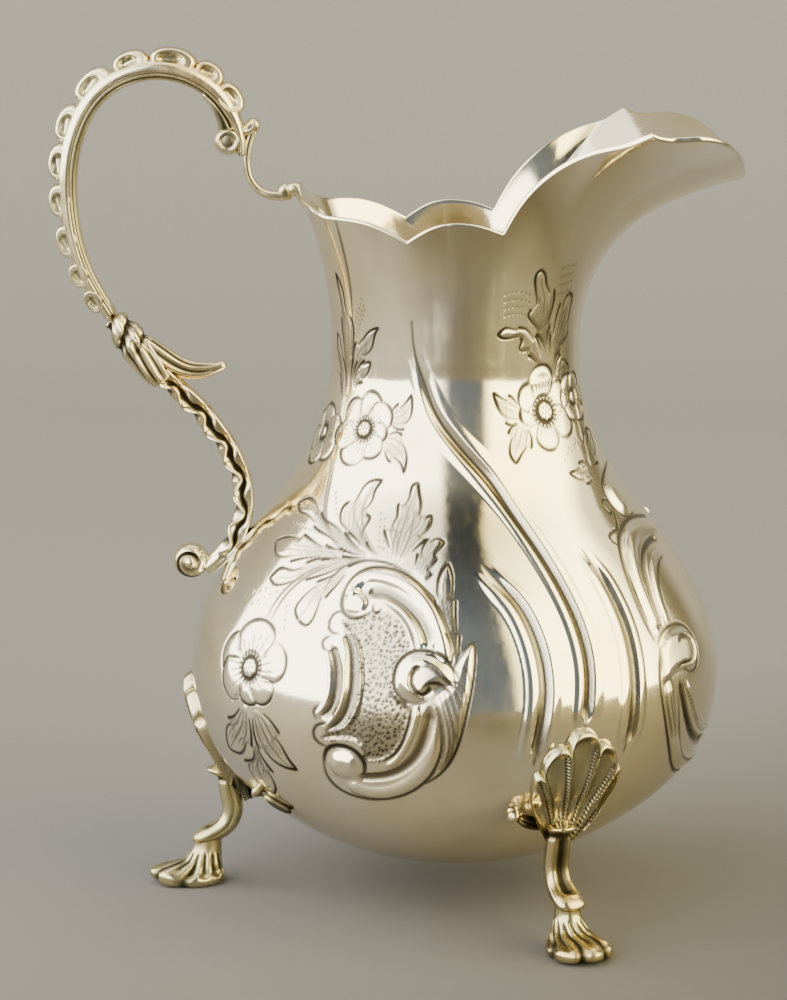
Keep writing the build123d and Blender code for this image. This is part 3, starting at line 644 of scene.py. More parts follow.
def chase_neck(r):
    """A flower and leaves on each side of the neck by the handle, and one under the spout's edge."""
    up_leaves = [
        ([(-146, 92), (-146.4, 95.6), (-144.6, 98.4), (-142, 100.2), (-138, 101.2), (-134, 102.4),
          (-127.8, 103.5)],
         [(-144, 92), (-142.6, 95), (-139.5, 97), (-136, 98.2), (-132, 100), (-130.4, 102),
          (-127.8, 103.5)], 3),
        ([(-145, 92.6), (-144, 95.4), (-141, 96.8), (-137, 97), (-133, 97.4)],
         [(-144, 92), (-141.6, 93.2), (-137.6, 94.2), (-134.6, 95.6), (-133, 97.4)], 3),
        ([(-150, 90.6), (-152, 95), (-153.4, 99), (-153, 103), (-151, 107), (-150.4, 110), (-149.6, 112.4)],
         [(-147.4, 90.6), (-147, 95), (-144.8, 99), (-144.6, 104), (-147.6, 106), (-147.4, 109),
          (-149.6, 112.4)], 5),
        ([(-151, 89.6), (-155, 92.4), (-158, 96), (-160.6, 99.4), (-160, 101.4)],
         [(-149.6, 90.6), (-152, 95), (-155, 98), (-158, 100.4), (-160, 101.4)], 3),
    ]
    for one, other, veins in up_leaves:
        r.leaf(one, other, veins, 0.45, 0.12, 0.8)
    r.leaf([(-121, 88.4), (-119.6, 89.6), (-116.6, 90.4), (-113, 91.2), (-111, 92.4)],
           [(-121, 87.6), (-117, 86.8), (-113, 87.2), (-110.8, 88.6), (-110.4, 90.4), (-111, 92.4)], 3, 0.42,
            0.1, 0.75)
    r.leaf([(-121, 84.6), (-118.6, 85.8), (-115.6, 85.8), (-112.6, 84.4), (-110.4, 82), (-110.6, 79.6)],
           [(-121, 84), (-119.6, 82.4), (-116.4, 81.6), (-113.4, 81.4), (-111.8, 80.8), (-110.6, 79.6)], 3,
            0.42, 0.1, 0.75)
    r.flower(-161.5, 84, [(-60, 5, 4.4), (0, 5.2, 4.8), (70, 6, 4.6), (125, 6.4, 4.6), (180, 6, 4.4),
            (-120, 5, 4.4)], 1.4, 0.3, 6)
    r.flower(-132.6, 86, [(-52, 6.6, 5.0), (8, 6.6, 4.8), (52, 6.4, 4.8), (96, 5.0, 3.2), (140, 5.8, 4.2),
            (200, 6.8, 5.4), (252, 7.4, 4.6)], 1.75, 0.34, 8)
    for k, start in enumerate(((-143.5, 100.4), (-142.6, 102), (-141.8, 104))):
        r.dots([(start[0] + 1.25 * i, start[1] + 0.85 * i) for i in range(8 - k)], 0.2, 0.06, 0.6)
    spray = [
        ([(-47.4, 97.2), (-50, 100), (-54, 102.2), (-57, 103.2), (-64, 103.6), (-69, 103.7), (-72.4, 102.6)],
         [(-48.6, 97), (-52.6, 97.6), (-56.6, 99.2), (-61.4, 100.2), (-60.4, 101.4), (-66, 102),
          (-72.4, 102.6)], 4),
        ([(-46, 98), (-49, 101), (-53.6, 103.6), (-56.6, 105.8), (-54.2, 107.4), (-54.2, 109.8), (-54.4, 112.6),
         (-52.4, 113.6)],
         [(-44.6, 98), (-45.4, 101), (-44.6, 104), (-43.4, 106.6), (-45.4, 109.8), (-48.6, 110.8), (-50, 112.2),
          (-52.4, 113.6)], 6),
        ([(-42.6, 96.6), (-43.2, 100), (-41.6, 103.4), (-38.4, 106), (-33.4, 108.6), (-29, 108.2)],
         [(-40.6, 95.8), (-38.2, 98.4), (-34, 100), (-30.4, 102.4), (-29.8, 105.6), (-29, 108.2)], 5),
        ([(-39.6, 94.6), (-38, 97), (-34.6, 97.6), (-31, 97), (-27.4, 95.6)],
         [(-38.6, 94), (-35, 93.6), (-31.6, 94), (-29, 94.6), (-27.4, 95.6)], 3),
        ([(-62, 90), (-65, 91.6), (-68, 91.8), (-71, 92), (-74.4, 92.8)],
         [(-62.4, 88), (-65.4, 87.4), (-69.4, 88.2), (-72, 89.8), (-74.4, 92.8)], 3),
        ([(-62.6, 87.2), (-66.4, 87), (-68.6, 85), (-69.2, 82.6), (-67.4, 81)],
         [(-62, 86.6), (-58.8, 85.6), (-60, 83.8), (-63.4, 82.8), (-67.4, 81)], 3),
        ([(-31, 80.2), (-35, 79.8), (-39, 79), (-44.2, 78.5)],
         [(-31, 76.8), (-35, 76.6), (-40, 77.2), (-44.2, 78.5)], 3),
        ([(-29, 84), (-27, 88), (-24, 90), (-20, 90.6)], [(-28, 82), (-24, 83), (-21, 86), (-20, 90.6)], 3),
        ([(-30, 80), (-27, 83), (-22, 84.6), (-17, 84)], [(-30, 78.6), (-25, 79), (-20, 80.6), (-17, 84)], 3),
    ]
    for one, other, veins in spray:
        r.leaf(one, other, veins, 0.45, 0.12, 0.8)
    r.flower(-48.6, 89, [(-95, 5.6, 3.6), (-52, 6.4, 4.8), (0, 8.0, 5.6), (66, 7.4, 5.2), (118, 7.2, 5.2),
            (186, 6.8, 4.6)], 2.1, 0.34, 8)
    r.flower(-26.4, 90.4, [(-90, 4.2, 3.6), (-30, 4.6, 3.8), (30, 4.6, 3.8), (90, 4.6, 3.8), (150, 4.6, 3.8),
            (210, 4.4, 3.8)], 1.3, 0.3, 6)
    for k in range(4):
        r.dots([(-57 - 2.0 * i, 105.6 + 1.25 * k + 0.35 * i - 0.05 * i * i) for i in range(7)], 0.2, 0.06, 0.55)
        r.dots([(-41 + 1.6 * i, 109 + 1.5 * k + 0.1 * i) for i in range(6)], 0.2, 0.06, 0.5)
    r.dots([(-44 + 2.1 * i, 80.8 + 0.5 * (i % 3) + 0.35 * i) for i in range(7)], 0.22, 0.06, 0.6)
    r.dots([(-40.5 + 2.1 * i, 81.6 + 0.5 * (i % 2) + 0.3 * i) for i in range(5)], 0.22, 0.06, 0.6)


def chase_front_panel(r):
    """The larger scrolled panel under the spout; its other half is on the far side."""
    band = [(-41.6, 51.5), (-42.5, 54), (-42.8, 58), (-42, 62), (-39.6, 65.6), (-36, 67.9), (-31, 69.2),
            (-25, 69.7), (-18, 69.4), (-10, 68.6)]
    r.cut(band, 0.9, 0.22, 0.7, (0.1, 0.02))
    r.roll([(-39.6, 52), (-40, 55), (-39.8, 59.5), (-38, 63), (-34.6, 65.7), (-30, 67.3), (-24, 67.9),
            (-17, 67.6), (-10, 66.8)], 3.6, 0.7, taper=(0.1, 0.02))
    r.roll([(-37, 52.6), (-37.2, 56), (-35.8, 59.6), (-33.4, 62.4), (-29.6, 64.4), (-24.6, 65.4), (-19, 65.6),
            (-14.6, 65.3)], 1.5, -0.42, 0.7, taper=(0.1, 0.06))
    r.roll([(-34.6, 52.9), (-34.6, 56.4), (-32.4, 60), (-28.8, 62.4), (-24, 63.7), (-18, 64)], 1.3, 0.3, 0.35)
    r.cut([(-33.2, 53), (-33, 56), (-30.6, 59.4), (-27.8, 61.2), (-24, 62.4), (-20, 62.8)], 0.45, 0.1, 0.7)
    r.pad([(-41, 50.5), (-38.6, 51.9), (-34, 52.6), (-29, 52), (-26, 50), (-25.4, 47.5), (-27.4, 45.4),
            (-31, 44.9), (-34, 45.4), (-38, 45.2), (-41.6, 44), (-42.4, 47)], 0.85, 1.7)
    r.cut([(-40.8, 50.8), (-38.4, 52.2), (-34, 53), (-28.8, 52.4), (-25.6, 50.2), (-25, 47.4), (-27.2, 45.1),
            (-31, 44.6), (-33.4, 45.6)], 0.6, 0.2, 0.8)
    r.roll([(-35, 50), (-32, 50.9), (-29.3, 50), (-28.7, 48.2), (-30.6, 46.6), (-34, 46.6), (-38, 46)], 0.9,
            -0.4, 0.75, taper=(0.1, 0.2))
    outer = [(-40.6, 50.4), (-42.2, 47), (-42.6, 43), (-41.8, 39.5), (-40, 35.6), (-37, 31.6), (-33, 28.3),
            (-28, 26.1), (-21, 24.9), (-10, 24.1)]
    r.cut(outer, 0.55, 0.16, 0.85, (0.1, 0.02))
    r.roll([(-39.6, 46), (-39.8, 42), (-38.6, 37.6), (-36, 33.4), (-31.6, 29.9), (-26, 27.6), (-19, 26.4),
            (-10, 25.8)], 3.0, 0.5, taper=(0.1, 0.02))
    r.cut([(-36.6, 42), (-36, 38), (-34, 33.6), (-30, 29.8), (-24, 27.6), (-12, 26.2)], 0.5, 0.12, 0.6)
    for shift in (0, 1.1, 2.2):
        r.cut([(-41 + shift, 45.4), (-41.2 + shift, 42), (-40 + shift, 38), (-38 + shift, 34.4)], 0.34, 0.07,
                0.5)
    r.roll([(-35.6, 44.4), (-34.2, 40), (-31.4, 36), (-26.8, 32.6), (-20, 30.4), (-12, 29.2)], 1.9, -0.55, 0.8,
            taper=(0.08, 0.04))
    r.roll([(-32.8, 44), (-31.4, 40.4), (-28.6, 37), (-24, 34.2), (-18, 32.4), (-10, 31.4)], 1.1, 0.32, 0.35,
            taper=(0.1, 0.04))
    r.dots([(-34 + 0.32 * k + 0.018 * k * k, 43.6 - 0.62 * k) for k in range(14)], 0.26, 0.1, 0.8)
    r.pad([(-20, 75.6), (-25, 76), (-28.6, 74.9), (-29.9, 73), (-28.5, 71), (-25, 70.3), (-21, 70.6),
            (-19, 73)], 0.7, 2.0)
    r.cut([(-19, 70.2), (-25, 70), (-28.8, 70.9), (-30.3, 73), (-29, 75.2), (-25, 76.5), (-18, 77.6),
            (-10, 78.2)], 0.6, 0.16, 0.75)
    r.cut([(-35.2, 72.6), (-34, 71.3), (-32.4, 71.6), (-32.6, 72.6)], 0.45, 0.12, 0.8)
    r.cut([(-35, 73), (-32.6, 73.5), (-30.6, 72.9)], 0.45, 0.12, 0.8)
    r.cut([(-31, 72), (-32.6, 70.4), (-35.2, 69), (-39, 68.6), (-40.9, 67.9), (-39.6, 66.8), (-37.8, 66.6)],
            0.5, 0.12, 0.8)


def build_body(material):
    relief = Relief()
    for chase in (chase_flutes, chase_side_panel, chase_side_spray, chase_neck, chase_front_panel):
        chase(relief)
    rows, half = relief.z.shape
    across = np.gradient(relief.points, axis=1)
    upwards = np.gradient(relief.points, axis=0)
    normal = np.cross(across, upwards)
    normal /= np.linalg.norm(normal, axis=-1, keepdims=True) + 1e-12
    normal[:, 0] = normal[:, 0] * [1, 0, 1]
    normal[:, -1] = normal[:, -1] * [1, 0, 1]
    outside = relief.points + relief.height[..., None] * normal
    columns = 2 * half - 2

    def whole(values):
        """The near half's rows of values followed by their mirror image on the far half."""
        return np.concatenate([values, values[:, -2:0:-1]], axis=1)

    flip = np.array([1, -1, 1])
    inner_t = rim_reach(relief.azimuth)
    inner = []
    for share in np.linspace(1, 0, LIP_INNER_ROWS):
        rho, z = lip_outline(relief.azimuth, inner_t * share)
        ahead_rho, ahead_z = lip_outline(relief.azimuth, inner_t * share + 0.004)
        run = np.hypot(ahead_rho - rho, ahead_z - z)
        rho_in = rho - WALL * (ahead_z - z) / run
        z_in = z + WALL * (ahead_rho - rho) / run
        inner.append((rho_in, z_in))
    bowl = PROFILE[::-12]
    for index in range(1, len(bowl)):
        run = bowl[index] - bowl[index - 1]
        size = np.hypot(*run)
        rho = max(bowl[index][0] + WALL * run[1] / size, 0.02)
        inner.append((np.full(half, rho), np.full(half, bowl[index][1] - WALL * run[0] / size)))
    angle = np.radians(relief.azimuth)
    inside = np.stack([np.stack([r * np.cos(angle), r * np.sin(angle), z], -1) for r, z in inner])
    # The rim: a rounded edge between the outer and the inner wall.
    top, under = outside[-1], inside[0]
    middle, reach = (top + under) / 2, (top - under) / 2
    rise = upwards[-1] / np.linalg.norm(upwards[-1], axis=-1, keepdims=True)
    rim = []
    for turn in (30, 60, 90, 120, 150):
        rim.append(middle + reach * cos(radians(turn)) + rise * (WALL / 2) * sin(radians(turn)) * 0.8)
    near = np.concatenate([outside, np.stack(rim), inside])
    everything = np.concatenate([near, near[:, -2:0:-1] * flip], axis=1)
    total = len(everything)
    points = everything.reshape(-1, 3)
    faces = grid_faces(total, columns)
    extra = total - rows
    plain = np.zeros((extra, columns))
    dark = np.concatenate([whole(relief.dark), plain])
    matted = np.concatenate([whole(relief.matted), plain])
    indoors = np.concatenate([np.zeros((rows + len(rim), columns)), np.ones((len(inside), columns))])
    add_mesh(
        "jug_body", points, faces, material, ("body",),
        {"tarnish_and_painted_shade": dark, "matted": matted, "inside": indoors},
    )


# ---- the castings -------------------------------------------------------------------------------
UP = np.array([0.0, 0.0, 1.0])
BAR_CORNERS = 0.9        # 1 makes a bar's section an ellipse, less squares it


def facing_axes(azimuth):
    """The level directions away from the axis at an azimuth, and to the side of it."""
    angle = radians(azimuth)
    return np.array([cos(angle), sin(angle), 0.0]), np.array([-sin(angle), cos(angle), 0.0])


def two_sided(values, sign=1):
    """Rows from a disc's middle out to its edge, then back in on its other side."""
    return np.concatenate([values, sign * values[-2::-1]])


def hump(x, middle, half):
    """A soft bump of height 1 round a middle."""
    return np.exp(-((x - middle) / half) ** 2)


def skin(rings, dark):
    """A closed skin over rings of points: points, faces and darkness (tarnish and painted shade), with its
    faces outwards.
    """
    rows, columns = rings.shape[:2]
    points = rings.reshape(-1, 3)
    quads = grid_faces(rows, columns)
    corners = points[quads]
    middle = points.mean(0)
    spread = np.cross(corners[:, 2] - corners[:, 0], corners[:, 3] - corners[:, 1])
    volume = np.einsum("ij,ij->", corners.mean(1) - middle, spread)
    last = (rows - 1) * columns
    faces = [tuple(quad) for quad in quads.tolist()]
    faces += [tuple(range(columns - 1, -1, -1)), tuple(range(last, last + columns))]
    if volume < 0:
        faces = [face[::-1] for face in faces]
    return points, faces, np.broadcast_to(dark, (rows, columns)).ravel()


def add_casting(name, skins, material):
    """One piece from several closed skins, in place of the CAD's node of the same name."""
    points, faces, dark, start = [], [], [], 0
    for skin_points, skin_faces, skin_dark in skins:
        points.append(skin_points)
        dark.append(skin_dark)
        faces += [tuple(index + start for index in face) for face in skin_faces]
        start += len(skin_points)
    add_mesh(name, np.concatenate(points), faces, material, (name,), {"tarnish_and_painted_shade": np.concatenate(dark)})


def sweep(line, outward, sections, relief=None, caps=(0.6, 0.6), around=72, step=0.28):
    """A bar along a line, with (share, thickness, width) sections and rounded ends.

    The relief takes the turn round the bar (0 outside, 90 at either side) and the share along it, and
    gives a height in millimetres and a darkness: tarnish, and for some pieces painted shade.
    """
    length = np.r_[0, np.cumsum(np.linalg.norm(np.diff(line, axis=0), axis=1))]
    total = length[-1]
    turn = np.radians(np.linspace(2, 90, 9))
    runs = max(int((total - sum(caps)) / step), 2)
    where = np.r_[caps[0] * (1 - np.cos(turn)), np.linspace(caps[0], total - caps[1], runs)[1:-1],
                  total - caps[1] * (1 - np.cos(turn[::-1]))]
    scale = np.r_[np.sin(turn), np.ones(runs - 2), np.sin(turn[::-1])]
    share = (where / total)[:, None]
    table = smooth_curve([(20 * s, t, w) for s, t, w in sections], 200)
    thick = np.interp(20 * share, table[:, 0], table[:, 1])
    wide = np.interp(20 * share, table[:, 0], table[:, 2])
    slopes = np.gradient(line, axis=0)
    pick = [np.stack([np.interp(where, length, values[:, k]) for k in range(3)], -1)
            for values in (line, slopes, outward)]
    centre, tangent, normal = pick
    tangent = tangent / np.linalg.norm(tangent, axis=1, keepdims=True)
    normal = normal - np.einsum("ij,ij->i", normal, tangent)[:, None] * tangent
    normal = normal / np.linalg.norm(normal, axis=1, keepdims=True)
    side = np.cross(tangent, normal)
    theta = np.linspace(0, 2 * pi, around, endpoint=False)[None, :]
    n, b = np.cos(theta), np.sin(theta)
    facing = np.hypot(n / thick, b / wide)
    height, dark = (0.0, 0.0) if relief is None else relief((np.degrees(theta) + 180) % 360 - 180, share)
    reach = (thick / 2 * np.sign(n) * np.abs(n) ** BAR_CORNERS + height * n / thick / facing) * scale[:, None]
    across = (wide / 2 * np.sign(b) * np.abs(b) ** BAR_CORNERS + height * b / wide / facing) * scale[:, None]
    rings = centre[:, None] + reach[..., None] * normal[:, None] + across[..., None] * side[:, None]
    return skin(rings, dark)


def bar(route, sections, relief=None, azimuth=0.0, out=1, **options):
    """A bar in the upright plane at an azimuth, along a route of (distance from the axis, height)."""
    flat = smooth_curve(route, 400)
    ahead, _ = facing_axes(azimuth)
    slopes = np.gradient(flat, axis=0)
    line = flat[:, :1] * ahead + flat[:, 1:] * UP
    outward = out * (slopes[:, 1:] * ahead - slopes[:, :1] * UP)
    return sweep(line, outward, sections, relief, **options)


def strap(path, sections, relief, stand, **options):
    """A bar that lies on the body along a path of (azimuth, z)."""
    path = flowing(path, 200)
    line = on_body(path[:, 0], path[:, 1], stand)
    outward = on_body(path[:, 0], path[:, 1], stand + 1.0) - line
    return sweep(line, outward, sections, relief, **options)


def disc(centre, radius, width, relief):
    """A domed disc in the handle's upright plane, with relief as f(share of the radius, turn)."""
    r = np.sin(np.radians(np.linspace(1, 90, 40)))[:, None]
    theta = np.linspace(0, 2 * pi, 96, endpoint=False)[None, :]
    height, dark = relief(r, np.degrees(theta))
    half = width / 2 * np.clip(1 - r ** 2.6, 0, 1) ** 0.5 + height * (1 - r ** 8) + 0 * theta
    reach = radius * two_sided(r)
    rings = np.stack([
        centre[0] + reach * np.cos(theta), two_sided(half, -1), centre[1] + reach * np.sin(theta),
    ], -1)
    return skin(rings, two_sided(np.broadcast_to(dark, half.shape)))


# Routes are (distance from the axis, height), and sections (share of the way, thickness, width).
SCROLL_ROUTE = [(-39.0, 137.6), (-42.4, 143.1), (-51.7, 146.6), (-61.4, 143.3), (-66.8, 134.4), (-67.8, 123.7),
        (-64.9, 111.0), (-60.5, 103.4)]
SCROLL_SECTIONS = [(0.0, 3.6, 5.0), (0.08, 3.9, 6.0), (0.2, 3.9, 6.8), (0.32, 3.9, 7.0), (0.44, 3.8, 7.0),
        (0.56, 3.7, 6.8), (0.68, 3.4, 6.4), (0.8, 3.1, 6.0), (0.91, 2.9, 5.4), (1.0, 2.7, 5.0)]
BAND_ROUTE = [(-37.5, 131.4), (-37.6, 134.6), (-39.0, 138.6)] + SCROLL_ROUTE[1:]
BAND_SECTIONS = [(0.0, 1.5, 4.2), (0.06, 2.2, 4.8), (0.13, 3.6, 5.8), (0.24, 3.9, 6.8), (0.36, 3.9, 7.0),
        (0.48, 3.8, 7.0), (0.6, 3.7, 6.8), (0.72, 3.4, 6.4), (0.83, 3.1, 6.0), (0.92, 2.9, 5.4),
        (1.0, 2.7, 5.0)]
LOBE_SUNK = 0.35         # depth of a lobe's middle inside the band
LOBE_HALF_WIDTH = 2.6
# Each lobe's place along the scroll, its length and its rise above the band.
LOBES = [(0.05, 6.0, 1.9), (0.12, 5.6, 1.9), (0.205, 8.4, 2.1), (0.3, 6.6, 2.0), (0.398, 7.6, 2.1),
        (0.502, 7.0, 2.0), (0.594, 6.6, 1.9), (0.686, 6.0, 1.9), (0.785, 6.0, 1.8), (0.872, 4.8, 1.6),
        (0.944, 4.8, 1.4)]
STEM_ROUTE = [(-60.5, 103.4), (-57.5, 99.4), (-54.3, 95.6), (-50.9, 91.8)]
STEM_SECTIONS = [(0.0, 2.9, 5.2), (0.25, 4.6, 6.6), (0.5, 5.4, 7.0), (0.75, 5.6, 6.8), (1.0, 4.2, 5.6)]
SPUR_ROUTE = [(-55.6, 99.2), (-51.4, 95.9), (-47.4, 93.9), (-43.4, 93.9), (-40.4, 94.9)]
SPUR_SECTIONS = [(0.0, 2.6, 5.4), (0.25, 3.4, 5.4), (0.5, 3.2, 4.6), (0.75, 2.5, 3.6), (0.9, 2.0, 3.0),
        (1.0, 1.7, 2.4)]
LOWER_ROUTE = [(-52.4, 93.6), (-50.2, 91.4), (-46.8, 88.4), (-42.2, 82.9), (-38.9, 77.2), (-37.5, 71.0),
        (-38.4, 65.4), (-41.2, 60.9), (-44.6, 57.9)]
LOWER_SECTIONS = [(0.0, 4.0, 5.4), (0.15, 3.8, 5.0), (0.32, 3.9, 4.8), (0.5, 3.8, 4.6), (0.68, 3.7, 4.4),
        (0.85, 3.4, 4.0), (1.0, 3.2, 3.6)]
BRACKET_ROUTE = [(-35.2, 136.4), (-36.2, 133.4), (-36.5, 130.0), (-35.6, 126.9), (-32.8, 124.8), (-29.6, 124.6)]
BRACKET_SECTIONS = [(0.0, 1.6, 2.8), (0.2, 1.5, 3.0), (0.5, 1.4, 3.0), (0.8, 1.7, 3.4), (1.0, 1.9, 3.2)]


def scroll_relief(turn, share):
    """The band's narrow rib and groove along its inner edge."""
    n = np.cos(np.radians(turn))
    line = hump(n, -0.26, 0.07)
    groove = hump(n, -0.66, 0.12) * (share < 0.97)
    height = -0.16 * line + 0.12 * hump(n, -0.43, 0.09) - 0.42 * groove + 0.14 * hump(n, 0.2, 0.5)
    return height, np.clip(0.75 * line + 0.95 * groove, 0, 1) * np.ones_like(share)


def lobe_on(share, length, rise):
    """A cupped lobe on the band's outer edge: a rounded lip round a hollow on each side, darkened partly by
    tarnish and partly by painted shade.
    """
    flat = smooth_curve(SCROLL_ROUTE, 800)
    steps = np.r_[0, np.cumsum(np.linalg.norm(np.diff(flat, axis=0), axis=1))]
    at = share * steps[-1]
    centre = np.array([np.interp(at, steps, flat[:, k]) for k in (0, 1)])
    slope = np.array([np.interp(at, steps, np.gradient(flat[:, k])) for k in (0, 1)])
    slope /= np.linalg.norm(slope)
    out = np.array([slope[1], -slope[0]])
    thick = np.interp(share, [s[0] for s in SCROLL_SECTIONS], [s[1] for s in SCROLL_SECTIONS])
    centre = centre + out * (thick / 2 - LOBE_SUNK)
    r = np.r_[np.linspace(0.03, 0.5, 8), np.linspace(0.54, 0.999, 26)][:, None]
    theta = np.linspace(0, 2 * pi, 84, endpoint=False)[None, :]
    lip = np.clip(1 - ((r - 0.76) / 0.24) ** 2, 0, 1) ** 0.5
    thin = 0.12 * np.cos(theta - 0.5)
    cup = smoothstep((0.62 + thin - r) / 0.3)
    streaks = np.cos(r * np.sin(theta) * 15 + 5 * r * np.cos(theta)) * cup
    half = LOBE_HALF_WIDTH * (np.where(r > 0.76, lip, 1 - 0.22 * cup) + 0.03 * streaks)
    half = half * (1 - 0.3 * np.sin(theta) * r)
    # The hollow's darkness is partly tarnish and partly painted shade inside the cup.
    inner = smoothstep((0.72 + thin - r) / 0.3) * (0.26 + 0.2 * streaks)
    dark = np.clip(inner + 0.35 * hump(r, 0.66, 0.08), 0, 1)
    along = two_sided(r) * np.cos(theta) * length / 2 * (1 + 0.12 * np.sin(theta))
    up = two_sided(r) * np.sin(theta) * (rise + LOBE_SUNK)
    spot = centre + along[..., None] * slope + up[..., None] * out
    rings = np.stack([spot[..., 0], two_sided(half, -1), spot[..., 1]], -1)
    return skin(rings, two_sided(dark))


def spiral_relief(turns, depth, eye, sense, phase):
    """A snail's groove that winds in to a raised eye."""
    def relief(r, turn):
        wind = (r * turns + sense * (turn + phase) / 360.0) % 1.0
        away = np.minimum(wind, 1 - wind) / turns
        groove = hump(away, 0, 0.085) * smoothstep((r - eye) / 0.12) * (r < 0.97)
        dome = np.clip(1 - (r / eye) ** 2, 0, 1) ** 0.5
        height = -depth * groove + 0.75 * dome - 0.25 * hump(r, eye * 1.25, 0.1)
        return height, np.clip(groove + 0.5 * hump(r, eye * 1.3, 0.1), 0, 1)
    return relief


def hollow_relief(r, turn):
    """A shallow tarnished cup in a disc's face."""
    cup = smoothstep((0.72 - r) / 0.35)
    return -0.7 * cup, 0.5 * cup + 0 * turn


def cheek_relief(turn, share):
    """A tarnished hollow along both cheeks, deepening towards the end."""
    cup = hump(np.abs(turn), 85, 42) * smoothstep((share - 0.25) / 0.4)
    return -0.5 * cup, 0.9 * cup


def leafy_relief(turn, share):
    """Leaf tips that wrap round the stem, each striated and lapping over the next."""
    n = np.cos(np.radians(turn))
    wrap = share * 3.9 - 0.45 * n
    f = wrap % 1.0
    early = smoothstep((0.58 - share) / 0.2) * smoothstep(share / 0.06)
    step = smoothstep(f / 0.5) * smoothstep((1 - f) / 0.2)
    ribs = np.sin((np.abs(turn) * 0.06 + share * 4.2) * 3.1) * smoothstep((1.0 - share) / 0.15)
    late = smoothstep((share - 0.3) / 0.2)
    height = early * (0.7 * step - 0.25) + (0.1 + 0.16 * late) * ribs
    dark = early * 0.95 * (1 - step) ** 1.5 + (0.35 + 0.5 * late) * np.clip(-ribs, 0, 1)
    return height, np.clip(dark, 0, 1)


def spur_relief(turn, share):
    """Ribs along the leaf's spur that die out at its tip."""
    ribs = np.sin(np.abs(turn) * 0.115 - 1.2 + 2.6 * share)
    fade = smoothstep((0.93 - share) / 0.2)
    return 0.2 * ribs * fade, np.clip(-ribs, 0, 1) ** 0.8 * 0.85 * fade


def ribbon_relief(turn, share):
    """A bright rib on the inside of the bend, a dark hollow and a ribbon that weaves along the outside."""
    n = np.cos(np.radians(turn))
    weave = 0.36 + 0.36 * np.sin(2 * pi * (share * 6.6 + 0.1))
    on = smoothstep((share - 0.02) / 0.05) * smoothstep((0.93 - share) / 0.1)
    rib = hump(n, -0.66, 0.17)
    hollow = hump(n, weave - 0.48, 0.3) * on
    ribbon = hump(n, weave, 0.19) * on
    pits = np.clip(np.sin(2 * pi * (share * 6.6 + 0.1) - 2.0), 0, 1) * smoothstep((n - weave - 0.1) / 0.2) * on
    height = 0.35 * rib - 0.8 * hollow + 0.7 * ribbon - 0.55 * pits
    dark = np.clip(1.15 * hollow - ribbon - rib, 0, 1) + 0.95 * pits
    return height, np.clip(dark, 0, 1)


def thin_relief(turn, share):
    """One tarnished groove down the outside."""
    n = np.cos(np.radians(turn))
    line = hump(n, 0.0, 0.3) * smoothstep(share / 0.1) * smoothstep((0.85 - share) / 0.3)
    return -0.3 * line, 0.95 * line


def pinch_relief(turn_at, turn_half, share_at, share_halves, depth, tarnish, both=False):
    """A pinched waist on one cheek of a short bar, or on both."""
    def relief(turn, share):
        there = hump(np.abs(turn) if both else turn, turn_at, turn_half)
        deep, dull = share_halves
        return -depth * there * hump(share, share_at, deep), tarnish * there * hump(share, share_at, dull)
    return relief


def build_handle(material):
    castings = {
        "handle_scroll": [bar(BAND_ROUTE, BAND_SECTIONS, scroll_relief, around=120, step=0.4)],
        "handle_lobes": [lobe_on(*lobe) for lobe in LOBES],
        "handle_volute": [
            disc((-39.75, 134.2), 2.6, 6.2, hollow_relief),
            bar([(-44.2, 142.6), (-42.0, 140.2), (-40.6, 137.6), (-40.0, 135.4)],
                [(0.0, 1.2, 4.6), (0.5, 1.9, 5.0), (0.8, 2.6, 5.0), (1.0, 3.0, 4.6)], cheek_relief),
        ],
        # The bracket: a thin bar, the curled leaf at its top, its knuckle and the saddle on the rim.
        "handle_bracket": [
            bar(BRACKET_ROUTE, BRACKET_SECTIONS, thin_relief, around=56),
            bar([(-37.2, 135.4), (-35.9, 136.4), (-34.6, 138.0)],
                [(0.0, 1.6, 3.2), (0.6, 2.6, 4.2), (1.0, 1.8, 3.2)],
                pinch_relief(-100, 26, 0.5, (0.22, 0.25), 0.35, 0.8), caps=(0.5, 0.8)),
            bar([(-31.2, 124.7), (-29.5, 125.4), (-28.7, 125.7)],
                [(0.0, 2.0, 3.6), (0.6, 3.3, 4.2), (1.0, 3.2, 3.8)],
                pinch_relief(90, 30, 0.55, (0.3, 0.3), 0.3, 0.75, both=True), caps=(0.8, 1.1)),
            bar([(-29.3, 125.5), (-27.9, 125.7), (-26.9, 124.4), (-26.2, 122.4)],
                [(0.0, 2.4, 3.4), (0.35, 2.4, 3.4), (0.7, 1.7, 3.0), (1.0, 1.3, 3.0)], caps=(0.3, 0.4)),
        ],
        "handle_stem": [bar(STEM_ROUTE, STEM_SECTIONS, leafy_relief, around=120, step=0.16, caps=(0.8, 0.8))],
        "handle_spur": [bar(SPUR_ROUTE, SPUR_SECTIONS, spur_relief, around=96, step=0.2, caps=(0.8, 0.8))],
        "handle_lower": [
            bar(LOWER_ROUTE, LOWER_SECTIONS, ribbon_relief, around=120, step=0.16, caps=(0.8, 0.6)),
            bar([(-50.2, 90.6), (-51.8, 91.6), (-53.2, 91.3)],
                [(0.0, 1.6, 3.4), (0.6, 1.9, 3.8), (1.0, 1.6, 3.4)], caps=(0.5, 0.9)),
        ],
        "handle_terminal": [disc((-47.0, 59.6), 3.15, 6.4, spiral_relief(1.3, 0.5, 0.36, -1, 150))],
    }
    for name, skins in castings.items():
        add_casting(name, skins, material)


